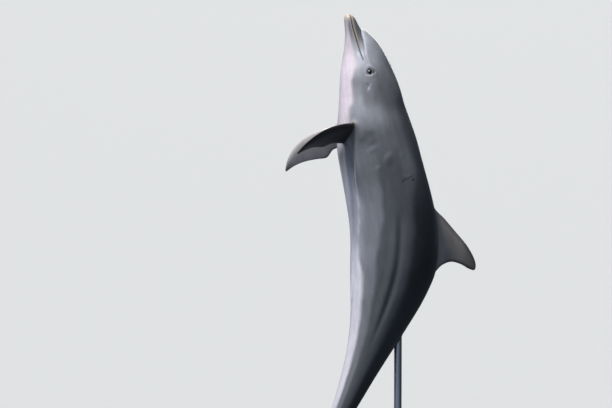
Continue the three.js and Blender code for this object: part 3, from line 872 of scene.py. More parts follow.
# Each edge with how many times the usual softness it has.
TONE_EDGES = [(BELLY_EDGE, 0.8), (LOWER_FLANK_EDGE, 0.8), (CAPE_EDGE, 1.8), (BACK_EDGE, 1.3)]
# Half-width in degrees of the change from one tone to the next.
EDGE_SOFTNESS = curve_through(
    [(0, 5), (5, 7), (9, 10), (12, 9), (14, 7), (20, 8), (26, 7), (34, 5), (60, 6), (100, 7)]
)
# The height of the melon's front edge, pale with painted highlight, and the melon's tone away from it.
MELON_EDGE = curve_through(
    [(3.3, 2.2), (3.7, 1.55), (4.5, 1.1), (5.8, 1.0), (7.2, 0.72), (8.6, 0.35), (10, 0.2)]
)
MELON_TONE = curve_through([(3.5, 0.36), (5.5, 0.35), (7, 0.31), (9, 0.28), (11, 0.215)])
# The turn of the pale line along the belly's edge, which is painted highlight.
BELLY_LINE = curve_through(
    [(25, 132), (28, 138.5), (35, 148), (38, 149.5), (42.5, 153.5), (46, 158), (52, 162), (100, 150)]
)
# Degrees of turn over which the flank is paler beside the belly's edge, partly with painted sheen.
GLOW_REACH = curve_through([(34, 5), (37, 5), (39.5, 12), (42, 17), (46, 13), (52, 17)])
# Lighter: the flank's partly painted sheen beside the belly's edge. Darker: the flippers' painted shadow.
GLOW_LIGHTER, ARMPIT_DARKER = 0.6, 0.8  # the share of itself by which the tone is lighter or darker there
# The painted shade over a flipper's root: how much darker, its place and reach along the body, its turn
# and reach round it.
SHOULDER_SHADE = (0.34, 25.8, 2.1, 116, 38)
DORSAL_TONE = 0.172
FLUKE_BELOW, FLUKE_ABOVE = 0.075, 0.045
# A flipper's inside and outside; the outside's near black is partly painted shade.
FLIPPER_INSIDE, FLIPPER_OUTSIDE = 0.34, 0.022


def melon_toned(tone, at, height, turn):
    """The tone with the melon's own on its side of the crease: palest, with painted highlight, along its
    front edge, darker away from it."""
    behind = height - MELON_EDGE(at)
    melon = MELON_TONE(at) + 0.29 * np.exp(-np.maximum(behind, 0) / 0.62) * swell(10.5, 8, at)
    melon = melon + 0.24 * bell(behind - 0.2, 0.17) * swell(4.2, 5.0, at)
    share = swell(-0.12, 0.12, behind) * swell(3.4, 3.6, at) * swell(12.5, 8.5, at) * (turn < 100)
    return blended(tone, melon, share)


def armpit_shade(at, turn, right):
    """How much painted shadow of the flippers lies on the body: both armpits and the belly between them,
    from a slanting front edge back."""
    round_belly = np.where(right, 360 - turn, turn)
    both_sides = np.maximum(swell(185, 179, round_belly), swell(193, 200, round_belly))
    start = 24 + 0.14 * np.abs(turn - 155)
    return swell(140, 152, turn) * both_sides * swell(start, start + 3.6, at) * swell(39, 27, at)


def body_tone(at, height, turn, right):
    """The skin's tone on the body: five tones one after the other from belly to back, with soft wavering
    edges, a paler flank along the belly's edge that is partly painted sheen, the melon with its painted
    highlight, and painted shade round the flippers."""
    waver = 1.1 * np.sin(at * 0.45 + 0.03 * turn) + 0.8 * np.sin(at * 1.1 - 0.05 * turn)
    waver = waver * swell(20, 32, at) * (1 - 0.7 * swell(50, 60, at))
    tone = curve_through(TONES[0])(at)
    for (edge, width), pairs in zip(TONE_EDGES, TONES[1:]):
        edge = curve_through(edge)(at) + waver
        soft = EDGE_SOFTNESS(at) * width
        tone = blended(tone, curve_through(pairs)(at), swell(edge + soft, edge - soft, turn))
    off_belly = BELLY_LINE(at) - turn
    # Partly painted sheen on the flank beside the belly's edge.
    glow = swell(-2, 1, off_belly) * swell(GLOW_REACH(at), 1, off_belly)
    glow = glow * swell(34, 38, at) * swell(59, 50, at)
    tone = melon_toned(tone * (1 + GLOW_LIGHTER * glow), at, height, turn)
    armpit = ARMPIT_DARKER * armpit_shade(at, turn, right)
    return tone * (1 - armpit) * (1 - patch(at, turn, *SHOULDER_SHADE))


def blade_place(points, ribs, basis, origin):
    """Where points lie on a fin: how far out towards its tip, and from 0 at the leading to 1 at the trailing
    edge."""
    local = (points - origin) @ np.linalg.inv(basis)
    t = np.linspace(0, 1, 60)
    front = through_points([rib[0] for rib in ribs], t)
    rear = through_points([rib[1] for rib in ribs], t)
    outs = np.maximum.accumulate((front[:, 0] + rear[:, 0]) / 2)
    fore = np.interp(local[:, 0], outs, front[:, 1])
    hind = np.interp(local[:, 0], outs, rear[:, 1])
    return local[:, 0] / ribs[-1][0][0], (local[:, 1] - fore) / np.maximum(hind - fore, 0.3)


def fin_tone(number, out, chord, outer):
    """A fin's tone. The dorsal fin and the flukes are even, with darker margins. A flipper is near black
    outside, its own dark grey deepened by painted shade, paler in its middle, and pale inside with a lighter
    band along its leading edge that is partly painted highlight."""
    margin = (1 - 0.5 * swell(0.88, 0.97, chord)) * (1 - 0.6 * swell(0.80, 1.0, out))
    if number == 1:
        front, root = swell(0.12, 0.02, chord), swell(0.7, 0.58, out)
        return DORSAL_TONE * margin * (1 - 0.3 * front) * (1 + 0.5 * root)
    if number > 3:
        return blended(FLUKE_BELOW, FLUKE_ABOVE, outer) * margin
    outside = FLIPPER_OUTSIDE + 0.03 * bell(np.hypot((out - 0.5) * 3.2, (chord - 0.55) * 2.6), 1)
    inside = FLIPPER_INSIDE + 0.14 * swell(0.30, 0.08, chord)
    return blended(inside, outside, outer) * margin


# Where each numbered fin's own tone begins and where it is full, as shares of the way out of the body.
FIN_TONE_STARTS = {1: (0.05, 0.3), 2: (0.15, 0.6), 3: (0.15, 0.6), 4: (0.15, 0.6), 5: (0.15, 0.6)}
# The way that each numbered fin's outer side faces. The fin on the back has none.
FIN_OUTER_WAYS = {1: (0, 0, 0), 2: (0, -1, 0), 3: (0, 1, 0), 4: (1, 0, 0), 5: (1, 0, 0)}


def fins_toned(tone, mesh, points, of_fin, part):
    """The tone with each fin's own: flippers are dark on the side away from the body, partly with painted
    shade, flukes above.
    """
    normals = values_of(mesh.vertex_normals, "vector", 3, np.float32)
    for number, (ribs, basis, origin) in enumerate(fin_frames, 1):
        mine = part == number
        out, chord = blade_place(points[mine], ribs, basis, origin)
        outer = swell(-0.3, 0.3, normals[mine] @ np.array(FIN_OUTER_WAYS[number], np.float32))
        share = swell(*FIN_TONE_STARTS[number], of_fin[mine])
        tone[mine] = blended(tone[mine], fin_tone(number, out, chord, outer), share)
    return tone


# The face's markings beside a line, each as (strength, distance from the line to its middle, reach) in mm.
# The shades are painted shade in the mouth's line, round the ear's pinhole and in the blowhole's slit; the
# ear's spot and the pads' pale marks are painted highlight.
UPPER_LIP_TAN, LOWER_LIP_TAN = (1, 7, 3.4), (0.7, -6, 2.6)
MOUTH_SHADE, EAR_SHADE, BLOWHOLE_SHADE = (1, 0, 3.0), (0.35, 0, 12), (1, 0, 2.6)
EYE_CRESCENT, EAR_SPOT = (0.75, 0, 5.5), (0.75, 0, 9)
UPPER_PAD_HIGHLIGHT, LOWER_PAD_HIGHLIGHT = (1, 11, 5), (1, -15, 6)
EAR_SPOT_AT, EAR_SPOT_HEIGHT = 15.85, -1.4


def along_mouth(at):
    """1 along the mouth and 0 behind its corner."""
    return swell(MOUTH_CORNER + 0.3, MOUTH_CORNER - 0.4, at)


def lip_marks(at, height):
    """How tan the skin is: along the edges of both lips, fading towards the corner, and at the beak's tip."""
    line = over_mouth(at, height)
    edges = np.maximum(ridge(line, *UPPER_LIP_TAN), ridge(line, *LOWER_LIP_TAN))
    return np.maximum(edges * swell(9.6, 4, at) * along_mouth(at), 0.8 * swell(1.3, 0.3, at))


def eye_shade(at, height):
    """How dark the skin is round the eye: a ring of its own dark skin, widest above, where painted shade from
    the upper lid adds to it, that ends behind it, painted shade in a crease ahead of it, and painted shade in
    the lids' rim, which is weaker at the front corner."""
    share, off, up = eye_place(at, height)
    behind = (at - EYE_AT) * PERCENT_IN_MM
    upward = np.clip(up / np.maximum(off, 4), -1, 1)
    reach = 1.5 + 0.35 * np.abs(upward) + 0.4 * np.maximum(upward, 0)
    ring = swell(reach + 0.55, reach - 0.35, share) * (0.28 + 0.42 * np.abs(upward) + 0.05 * upward)
    crease = 0.35 * bell(share - 1.4, 0.16) * swell(-12, -20, behind)
    corner = swell(-11, -14, behind) * swell(1.0, 0.85, share)
    rim = 0.9 * swell(1.22, 1.0, share) * (1 - 0.75 * corner)
    return greatest(ring * swell(15, 3, behind), crease, rim)


def dark_marks_and_shade(at, height, across, turn):
    """How dark the skin is: painted shade in the mouth's line, in the ear's pinhole and the hollow round it
    and in the blowhole's slit, and round the eye its own dark ring with painted shade.
    """
    lips = along_mouth(at) * ridge(over_mouth(at, height), *MOUTH_SHADE) * (0.7 + 0.3 * swell(1, 4, at))
    eye = np.where(beside(turn), eye_shade(at, height), 0)
    ear = ridge(from_ear(at, height), *EAR_SHADE) * beside(turn)
    return greatest(lips, eye, ear, ridge(blowhole_place(at, across), *BLOWHOLE_SHADE) * (turn < 40))


def pale_marks_and_highlights(at, height, turn):
    """How pale the skin is in the fold behind the eye, and where painted highlight lies on the brow ahead of
    it, along the streak behind the ear and on the pads at the mouth's corner."""
    share, _, up = eye_place(at, height)
    behind = (at - EYE_AT) * PERCENT_IN_MM
    crescent = ridge(behind_eye(at, height), *EYE_CRESCENT) * swell(1.05, 1.3, share)
    crescent = crescent * (1 - 0.4 * swell(8, 26, up))
    brow = 0.3 * bell(share - 2.3, 0.35) * swell(-6, -18, behind)
    spot = ridge(np.hypot(at - EAR_SPOT_AT, height - EAR_SPOT_HEIGHT) * PERCENT_IN_MM, *EAR_SPOT)
    streak = (0.25 + spot) * bell(from_line(at, height, EAR_STREAK), 5)
    line = over_mouth(at, height)
    pads = ridge(line, *UPPER_PAD_HIGHLIGHT) + ridge(line, *LOWER_PAD_HIGHLIGHT)
    pads = 0.7 * pads * bell(at - PADS_AT, 0.55)
    return np.clip(np.maximum(greatest(crescent, brow, streak) * beside(turn) * 0.6, pads), 0, 1)


TONE_POWER = 2.2  # the tone is stored as its root, so that it blends as the eye sees it
FLOW_SQUEEZE = 0.16  # draws places together along the body, so that noise over them runs in streaks


def mark_skin(mesh, points, of_fin, part):
    """Fields for the skin's material, from where each point lies on the animal."""
    at, height, across, turn = place_on_body(points)
    tone = fins_toned(body_tone(at, height, turn, across > 0), mesh, points, of_fin, part)
    body = 1 - of_fin
    pink_edge = curve_through(BELLY_EDGE)(at)
    pink = swell(pink_edge - 14, pink_edge + 6, turn) * (1 - 0.55 * swell(20, 30, at))
    edge = (turn - BELLY_LINE(at)) * TURN_SHARE * PERCENT_IN_MM
    lids = np.where(beside(turn), eye_place(at, height)[0], 5)
    set_field(mesh, "tone", tone ** (1 / TONE_POWER))
    set_field(mesh, "pink", pink * body)
    set_field(mesh, "fin", of_fin)
    set_field(mesh, "lips", lip_marks(at, height))
    # The dark field holds painted shade besides the eye's own dark ring, the pale field painted highlight
    # besides the pale fold behind the eye, and edge the line of painted highlight along the belly's edge.
    set_field(mesh, "dark", dark_marks_and_shade(at, height, across, turn) * body)
    set_field(mesh, "pale", pale_marks_and_highlights(at, height, turn) * body)
    set_field(mesh, "edge", np.clip(edge, -99, 99))
    set_field(mesh, "edge_amount", swell(29, 34, at) * swell(58, 46, at) * body)
    set_field(mesh, "lids", np.minimum(lids, 5))
    flow = mesh.attributes.new("flow", "FLOAT_VECTOR", "POINT")
    places = np.stack([at * FLOW_SQUEEZE, across, height], 1).astype(np.float32)
    flow.data.foreach_set("vector", places.ravel() * PERCENT)


# ---- Putting the animal together ----
beak_tip = plain_skin(np.array(0.0), np.array(0.0))
body = closed_tube("body", body_points(), beak_tip, spine_at(TAIL_END)[0])
skin_mesh = joined(body, list(fin_objects()))
skin_points, of_fin, part = fillet(skin_mesh)
mark_skin(skin_mesh, skin_points, of_fin, part)
skin_mesh.polygons.foreach_set("use_smooth", np.ones(len(skin_mesh.polygons), bool))
skin = bpy.data.objects.new("skin", skin_mesh)
bpy.context.scene.collection.objects.link(skin)


EYE_SWELLING = 0.5  # mm that the middle of the eye's front swells out of the ball


def eye_object(name, sign):
    """An eyeball: a ball round its own centre, whose front swells a little, drawn in rings round the way it
    looks."""
    low = np.degrees(np.arcsin(EYE_HEIGHT / side(EYE_AT)))
    centre = plain_skin(np.array(float(EYE_AT)), np.array((90.0 - low) * sign))
    centre[1] += sign * (EYE_PROUD - EYE_RADIUS) * MM
    tilt = np.radians(np.concatenate([np.linspace(2, 60, 30), np.linspace(65, 176, 20)]))[:, None]
    angle = np.linspace(0, 2 * np.pi, 64, endpoint=False)[None]
    radius = (EYE_RADIUS + EYE_SWELLING * bell(np.degrees(tilt), 26)) * MM
    look = np.array([0.0, sign, 0.0])
    _, along, dorsal = spine_at(EYE_AT)
    up, down = radius * np.sin(tilt) * np.cos(angle), radius * np.sin(tilt) * np.sin(angle)
    ahead = radius * np.cos(tilt) + 0 * angle
    rings = up[..., None] * dorsal + down[..., None] * along + ahead[..., None] * look + centre
    front, rear = centre + look * (EYE_RADIUS + EYE_SWELLING) * MM, centre - look * EYE_RADIUS * MM
    made = closed_tube(name, rings, front, rear)
    points = values_of(made.data.vertices, "co", 3, np.float32) - centre
    up, down = points @ dorsal / MM, points @ along / MM
    set_field(made.data, "out", np.hypot(up, down) + 40 * (points @ look < 0))
    set_field(made.data, "upward", up)
    set_field(made.data, "ahead", -down)
    set_field(made.data, "spoke", np.arctan2(up, down))
    return made


eyes = {f"eye_{name}": eye_object(f"eyeball_{name}", sign) for name, sign in SIDES.items()}


# ---- Stand, in mm until each mesh is made ----
BASE_LENGTH, BASE_WIDTH, BASE_THICK = 1190, 900, 36
RIM_GROOVE = 1.6  # depth of the groove near the base's rim
TRUNK_ROD = {"x": 110, "radius": 22, "top": 850}
TAIL_ROD = {"x": -331, "radius": 13, "top": 128}
TAIL_PAD = {"height": 127, "radius": 21, "tall": 27}
BORE_GAP = 0.3  # between a rod and its collar
HUB_REACH, FLANGE_REACH = 11, 34  # from the rod's side out to the sides of the collar's hub and flange
FLANGE_THICK, HUB_TALL = 12, 38
HUB_GROOVE = 1.5  # depth
SCREW_REACH = 25.5  # from the rod's side to the middle of the flange's screws
BEAD_GAP, BEAD_RADIUS = 1.5, 3.2  # from the rod's side to the bead's middle, and half its width
TURNED_SIDES = 96


def rounded_profile(corners, looped=False, steps=6, hold=0.35):
    """Points along a profile of (across, up, rounding) corners, each bent round by a quadratic curve over its
    rounding, with a point just before and after it so that flat stretches shade flat."""
    corners = np.array(corners, float)
    t = np.linspace(0, 1, steps)[:, None]
    before, after = np.roll(corners, 1, 0), np.roll(corners, -1, 0)
    points = []
    for i, (last, corner, following) in enumerate(zip(before, corners, after)):
        if not looped and i in (0, len(corners) - 1):
            points.append(corner[None, :2])
            continue
        ways = [(end - corner)[:2] / np.hypot(*(end - corner)[:2]) for end in (last, following)]
        start, stop = (corner[:2] + way * corner[2] for way in ways)
        bend = start * (1 - t) ** 2 + corner[:2] * 2 * t * (1 - t) + stop * t**2
        points += [(start + ways[0] * hold)[None], bend, (stop + ways[1] * hold)[None]]
    return np.concatenate(points)


def around_axis(profile, centre, way=(0, 0, 1)):
    """The profile's (across, up) points turned about an axis through the centre: rows of rings, in metres."""
    angle = np.linspace(0, 2 * np.pi, TURNED_SIDES, endpoint=False)[None, :, None]
    way = np.array(way, float)
    first = np.array([1.0, 0, 0]) if way[2] else np.array([0, 0, 1.0])
    second = np.cross(way, first)
    across, up = profile[:, 0, None, None], profile[:, 1, None, None]
    return (np.array(centre) + across * (np.cos(angle) * first + np.sin(angle) * second) + up * way) * MM


def turned(name, corners, centre, way=(0, 0, 1)):
    """A solid of revolution whose profile starts and ends on its axis."""
    rings = around_axis(rounded_profile(corners), centre, way)
    return closed_tube(name, rings[1:-1], rings[0, 0], rings[-1, 0])


def looped_ring(name, grid):
    """A closed ring from a grid of points that joins up both ways, facing outwards."""
    rows, count = grid.shape[:2]
    index = np.pad(np.arange(rows * count).reshape(rows, count), ((0, 1), (0, 1)), mode="wrap")
    quads = quads_between(index)
    points = grid.reshape(-1, 3)
    a, b, c, d = (points[quads[:, i]] for i in range(4))
    volume = (a * np.cross(b, c)).sum() + (a * np.cross(c, d)).sum()
    return mesh_object(name, points, [quads if volume > 0 else quads[:, ::-1]])


def oval_base():
    """The base: an oval plate whose inset and height follow a profile, with a rounded top edge, a small bevel
    below and a shallow groove near the rim."""
    top, groove = BASE_THICK, BASE_THICK - RIM_GROOVE
    corners = [
        (360, 0, 0), (0, 0, 3), (0, top, 7), (22, top, 0.6), (22.6, groove, 0.6),
        (26.4, groove, 0.6), (27, top, 0.6), (360, top, 0),
    ]
    inset, up = rounded_profile(corners).T
    angle = np.linspace(0, 2 * np.pi, 240, endpoint=False)
    long, wide = BASE_LENGTH / 2 - inset[:, None], BASE_WIDTH / 2 - inset[:, None]
    rings = np.stack([long * np.cos(angle), wide * np.sin(angle), up[:, None] + 0 * angle], -1) * MM
    return closed_tube("stand_plate", rings, np.zeros(3), np.array([0, 0, BASE_THICK * MM]))


def collar(name, rod):
    """A flanged collar round a rod's foot: a coved flange, a grooved hub and a clear bore."""
    bore, hub, rim = (rod["radius"] + reach for reach in (BORE_GAP, HUB_REACH, FLANGE_REACH))
    low, step, top = BASE_THICK, BASE_THICK + FLANGE_THICK, BASE_THICK + HUB_TALL
    corners = [
        (bore, low, 0.3), (rim, low, 0.4), (rim, step, 3), (hub, step, 6), (hub, low + 27, 0.5),
        (hub - HUB_GROOVE, low + 27.6, 0.4), (hub - HUB_GROOVE, low + 29.4, 0.4), (hub, low + 30, 0.5),
        (hub, top, 2.2), (bore, top, 0.8),
    ]
    return looped_ring(name, around_axis(rounded_profile(corners, looped=True), (rod["x"], 0, 0)))


# The profile of a screw's head, as (across, up, rounding) corners.
SCREW = [(0, 1.4, 0), (2.1, 1.4, 0.2), (2.3, 3.3, 0.3), (4.6, 2.9, 1.4), (5.4, -0.3, 0.2), (0, -0.3, 0)]


def screws(name, rod):
    """Four round-headed screws on the collar's flange and one in the side of its hub."""
    for number, angle in enumerate(np.radians([45, 135, 225, 315]), 1):
        reach = rod["radius"] + SCREW_REACH
        centre = (rod["x"] + reach * np.cos(angle), reach * np.sin(angle), BASE_THICK + FLANGE_THICK)
        yield turned(f"stand_screw_{name}_{number}", SCREW, centre)
    centre = (rod["x"], -rod["radius"] - HUB_REACH, BASE_THICK + 21)
    yield turned(f"stand_screw_{name}_5", SCREW, centre, (0, -1, 0))


def rubber_bead(name, rod):
    """A soft bead round a rod where it goes into the skin, round in section, and taller where the skin it
    follows is steep."""
    angle = np.linspace(0, 2 * np.pi, 72, endpoint=False)
    reach = rod["radius"] + BEAD_GAP
    feet = np.stack([rod["x"] + reach * np.cos(angle), reach * np.sin(angle), 0 * angle + 200], 1) * MM
    skin_tree = BVHTree.FromObject(skin, bpy.context.evaluated_depsgraph_get())
    met = np.array([skin_tree.ray_cast(Vector(foot), Vector((0, 0, 1)))[0][2] for foot in feet]) / MM
    met = (np.roll(met, 1) + 2 * met + np.roll(met, -1)) / 4
    steep = np.hypot(1, np.gradient(np.append(met, met[0]), reach * angle[1])[:-1])
    turn = np.linspace(0, 2 * np.pi, 20, endpoint=False)[:, None]
    across = reach + BEAD_RADIUS * np.cos(turn) + 0 * angle
    up = met + 3.6 * steep * np.sin(turn)
    rings = np.stack([rod["x"] + across * np.cos(angle), across * np.sin(angle), up], -1) * MM
    return looped_ring(name, rings)


def tail_pad():
    """A rubber pad on the tail rod's end, an upright egg shape set into the notch between the flukes."""
    tilt = np.radians(np.linspace(0, 180, 40))
    radius, tall = TAIL_PAD["radius"], TAIL_PAD["tall"]
    profile = np.stack([radius * np.sin(tilt) ** 0.9, -tall * np.cos(tilt)], 1)
    rings = around_axis(profile, (TAIL_ROD["x"], 0, TAIL_PAD["height"]))
    return closed_tube("stand_pad_tail", rings[1:-1], rings[0, 0], rings[-1, 0])


def rod_object(name, rod):
    """A plain round rod from the base's top up to its own top."""
    radius, low, top = rod["radius"], BASE_THICK, rod["top"]
    corners = [(0, low, 0), (radius, low, 0.5), (radius, top, 2), (0, top, 0)]
    return turned(name, corners, (rod["x"], 0, 0))


plate = oval_base()
steel_pieces = {
    "stand_rod_trunk": rod_object("stand_post_trunk", TRUNK_ROD),
    "stand_rod_tail": rod_object("stand_post_tail", TAIL_ROD),
    "stand_collar_trunk": collar("stand_flange_trunk", TRUNK_ROD),
    "stand_collar_tail": collar("stand_flange_tail", TAIL_ROD),
}
screw_pieces = [*screws("trunk", TRUNK_ROD), *screws("tail", TAIL_ROD)]
rubber_pieces = [rubber_bead("stand_bead_trunk", TRUNK_ROD), tail_pad()]


# ---- Materials: short ways to add nodes ----
def add(tree, kind, inputs=(), **settings):
    """Adds a node with its settings, each input given as a number, a colour or another node's output."""
    made = tree.nodes.new("ShaderNode" + kind)
    for key, value in settings.items():
        setattr(made, key, value)
    for key, value in dict(inputs).items():
        if isinstance(value, bpy.types.NodeSocket):
            tree.links.new(value, made.inputs[key])
        else:
            made.inputs[key].default_value = value
    return made


def calc(tree, operation, a, b=0.0, clamp=False):
    """One Math node's result from one or two numbers."""
    return add(tree, "Math", {0: a, 1: b}, operation=operation, use_clamp=clamp).outputs[0]


def times(tree, *values):
    """The product of numbers, multiplied from left to right."""
    return reduce(lambda a, b: calc(tree, "MULTIPLY", a, b), values)


def plus(tree, *values):
    """The sum of numbers, added from left to right."""
    return reduce(lambda a, b: calc(tree, "ADD", a, b), values)


def from_middle(tree, share):
    """How far a share lies from one half."""
    return calc(tree, "ABSOLUTE", calc(tree, "SUBTRACT", share, 0.5))


def grey(tree, level):
    """A grey of that level."""
    return add(tree, "CombineColor", {0: level, 1: level, 2: level}).outputs[0]


def vector(tree, operation, a, b):
    """One Vector Math node with two inputs."""
    return add(tree, "VectorMath", {0: a, 1: b}, operation=operation)


def ease(tree, value, low, high, to_low=0.0, to_high=1.0):
    """The value from low to high made into to_low to to_high, with an even S-curve between."""
    inputs = {"Value": value, "From Min": low, "From Max": high, "To Min": to_low, "To Max": to_high}
    return add(tree, "MapRange", inputs, interpolation_type="SMOOTHSTEP").outputs["Result"]


def mixed(tree, share, a, b, way="MIX"):
    """Two colours mixed, the second by that share."""
    settings = {"data_type": "RGBA", "blend_type": way, "clamp_result": False}
    return add(tree, "Mix", {0: share, 6: a, 7: b}, **settings).outputs[2]


def noise(tree, place, size, detail=3.0, rough=0.5):
    """Noise between 0 and 1, with features about 1/size metres wide."""
    inputs = {"Vector": place, "Scale": size, "Detail": detail, "Roughness": rough}
    return add(tree, "TexNoise", inputs).outputs["Fac"]


def colour(red, green, blue):
    """A colour given as it shows, from 0 to 255, made linear for the shader."""
    share = np.array([red, green, blue]) / 255
    return (*np.where(share > 0.04045, ((share + 0.055) / 1.055) ** 2.4, share / 12.92), 1.0)


def group(name, inputs, output, build):
    """A node group with named number or colour inputs and one output, which build makes from the inputs."""
    tree = bpy.data.node_groups.new(name, "ShaderNodeTree")
    kinds = {4: "NodeSocketColor", 3: "NodeSocketVector", 1: "NodeSocketFloat"}
    for key, value in inputs.items():
        kind = kinds[np.size(value)]
        tree.interface.new_socket(key, in_out="INPUT", socket_type=kind).default_value = value
    kind = "NodeSocketColor" if output == "Colour" else "NodeSocketFloat"
    tree.interface.new_socket(output, in_out="OUTPUT", socket_type=kind)
    given = tree.nodes.new("NodeGroupInput").outputs
    ended = tree.nodes.new("NodeGroupOutput")
    place = add(tree, "TexCoord").outputs["Object"]
    tree.links.new(build(tree, given, place), ended.inputs[output])
    return tree


def placed(tree, effect, **inputs):
    """One use of a node group in a material."""
    made = tree.nodes.new("ShaderNodeGroup")
    made.node_tree = effect
    for key, value in inputs.items():
        key = key.replace("_", " ").capitalize()
        if isinstance(value, bpy.types.NodeSocket):
            tree.links.new(value, made.inputs[key])
        else:
            made.inputs[key].default_value = value
    return made.outputs[0]


def build_mottle(tree, given, place):
    """The colour made lighter and darker by noise at two sizes."""
    broad = noise(tree, place, given["Size"], 2.0)
    fine = noise(tree, place, times(tree, given["Size"], 6.3), 4.0, 0.6)
    both = plus(tree, times(tree, broad, 0.62), times(tree, fine, 0.38))
    swing = times(tree, calc(tree, "SUBTRACT", both, 0.5), given["Amount"])
    return mixed(tree, 1.0, given["Colour"], grey(tree, plus(tree, swing, 1.0)), "MULTIPLY")


def build_scratches(tree, given, place):
    """A mask of thin scratches side by side, as teeth or handling leave them: the troughs of a sine across a
    slightly bent direction, kept only in long sparse patches."""
    drawn = {"Vector": place, "Rotation": (0.5, 0.9, 0.3), "Scale": (1.0, 1.0, 0.12)}
    drawn = add(tree, "Mapping", drawn).outputs[0]
    across = add(tree, "SeparateXYZ", {0: drawn}).outputs[0]
    bend = times(tree, noise(tree, drawn, times(tree, given["Size"], 0.3), 2.0), 9.0)
    run = plus(tree, times(tree, given["Size"], 6.3, across), bend)
    lines = ease(tree, calc(tree, "ABSOLUTE", calc(tree, "SINE", run)), given["Width"], 0.0)
    patch = ease(tree, noise(tree, drawn, times(tree, given["Size"], 0.7), 1.0), 0.64, 0.74)
    return times(tree, lines, patch, given["Amount"])


def build_grain(tree, given, place):
    """A fine uneven height, in metres, from noise at two sizes."""
    coarse = noise(tree, place, given["Size"], 3.0, 0.55)
    fine = noise(tree, place, times(tree, given["Size"], 5.0), 2.0)
    return times(tree, plus(tree, coarse, times(tree, fine, 0.3)), given["Depth"])


def off_line(tree, given, place):
    """Distance from the straight line between the inputs Start and End, and the share of the way along it."""
    way = vector(tree, "SUBTRACT", given["End"], given["Start"]).outputs[0]
    off = vector(tree, "SUBTRACT", place, given["Start"]).outputs[0]
    reach = vector(tree, "DOT_PRODUCT", way, way).outputs["Value"]
    run = vector(tree, "DOT_PRODUCT", off, way).outputs["Value"]
    share = calc(tree, "DIVIDE", run, reach, clamp=True)
    nearest = add(tree, "VectorMath", {0: way, "Scale": share}, operation="SCALE").outputs[0]
    return vector(tree, "DISTANCE", off, nearest).outputs["Value"], share


def build_scar(tree, given, place):
    """A mask of one thin mark between two points: 1 on the line between them, which wanders a little, with a
    ragged soft edge and thinner ends."""
    stray = add(tree, "TexNoise", {"Vector": place, "Scale": 22.0, "Detail": 2.0}).outputs["Color"]
    stray = vector(tree, "SUBTRACT", stray, (0.5, 0.5, 0.5)).outputs[0]
    stray = add(tree, "VectorMath", {0: stray, "Scale": 0.026}, operation="SCALE").outputs[0]
    off, share = off_line(tree, given, vector(tree, "ADD", place, stray).outputs[0])
    ragged = times(tree, noise(tree, place, 130.0, 2.0), given["Width"], 1.3)
    width = plus(tree, times(tree, given["Width"], 0.4), ragged)
    ends = ease(tree, from_middle(tree, share), 0.5, 0.2, 0.35, 1.0)
    return ease(tree, calc(tree, "DIVIDE", off, times(tree, width, ends)), 1.0, 0.1)


def build_fold(tree, given, place):
    """The height of one soft fold or hollow between two points: its rise, falling away over its reach and
    towards both ends, with uneven sides."""
    uneven = ease(tree, noise(tree, place, 14.0, 2.0), 0.3, 0.7, 0.8, 1.5)
    off, share = off_line(tree, given, place)
    across = ease(tree, calc(tree, "DIVIDE", off, times(tree, given["Reach"], uneven)), 1.0, 0.0)
    return times(tree, across, ease(tree, from_middle(tree, share), 0.5, 0.0), given["Rise"])


mottle_inputs = {"Colour": (0.5, 0.5, 0.5, 1.0), "Size": 10.0, "Amount": 0.2}
mottle = group("mottle", mottle_inputs, "Colour", build_mottle)
scratches = group("scratches", {"Size": 60.0, "Width": 0.1, "Amount": 1.0}, "Mask", build_scratches)
scar_inputs = {"Start": (0.0, 0.0, 0.0), "End": (0.0, 0.0, 1.0), "Width": 0.005}
scar = group("scar", scar_inputs, "Mask", build_scar)
fold_inputs = {"Start": (0.0, 0.0, 0.0), "End": (0.0, 0.0, 1.0), "Reach": 0.01, "Rise": 0.001}
fold = group("fold", fold_inputs, "Height", build_fold)
grain = group("grain", {"Size": 200.0, "Depth": 0.0002}, "Height", build_grain)


def material(name, **fixed):
    """A new material with one Principled shader, whose fixed values are set on its own sockets."""
    made = bpy.data.materials.new(name)
    made.use_nodes = True
    shader = made.node_tree.nodes["Principled BSDF"]
    for key, value in fixed.items():
        shader.inputs[key.replace("_", " ")].default_value = value
    return made, made.node_tree, shader


def field(tree, name):
    """The number that the mesh stores under that name."""
    return add(tree, "Attribute", attribute_name=name).outputs["Fac"]


def raised(tree, shader, height):
    """Small relief on a shader from a height in metres."""
    bump = add(tree, "Bump", {"Height": height, "Strength": 1.0, "Distance": 1.0})
    tree.links.new(bump.outputs["Normal"], shader.inputs["Normal"])


# Dark scars on the left side, each from (at, turn) to (at, turn).
SCARS = [((36.95, 82), (36.55, 71)), ((36.65, 73), (36.1, 57)), ((37.3, 64), (36.9, 56))]
# Tints that the grey tone is multiplied by, and the colours of marks; the pale mark's colour serves mostly
# for painted highlight and the dark mark's mostly for painted shade.
COOL_GREY, PINKISH, FIN_GREY = (0.995, 0.98, 1.035, 1), (1.11, 0.935, 0.97, 1), (1.11, 0.99, 0.91, 1)
TAN_LIP, PALE_MARK_AND_HIGHLIGHT, DARK_MARK_AND_SHADE = colour(206, 178, 140), colour(226, 222, 228), colour(26, 25, 27)
SCAR_GREY, SCRATCH_GREY = colour(38, 40, 46), colour(176, 176, 180)


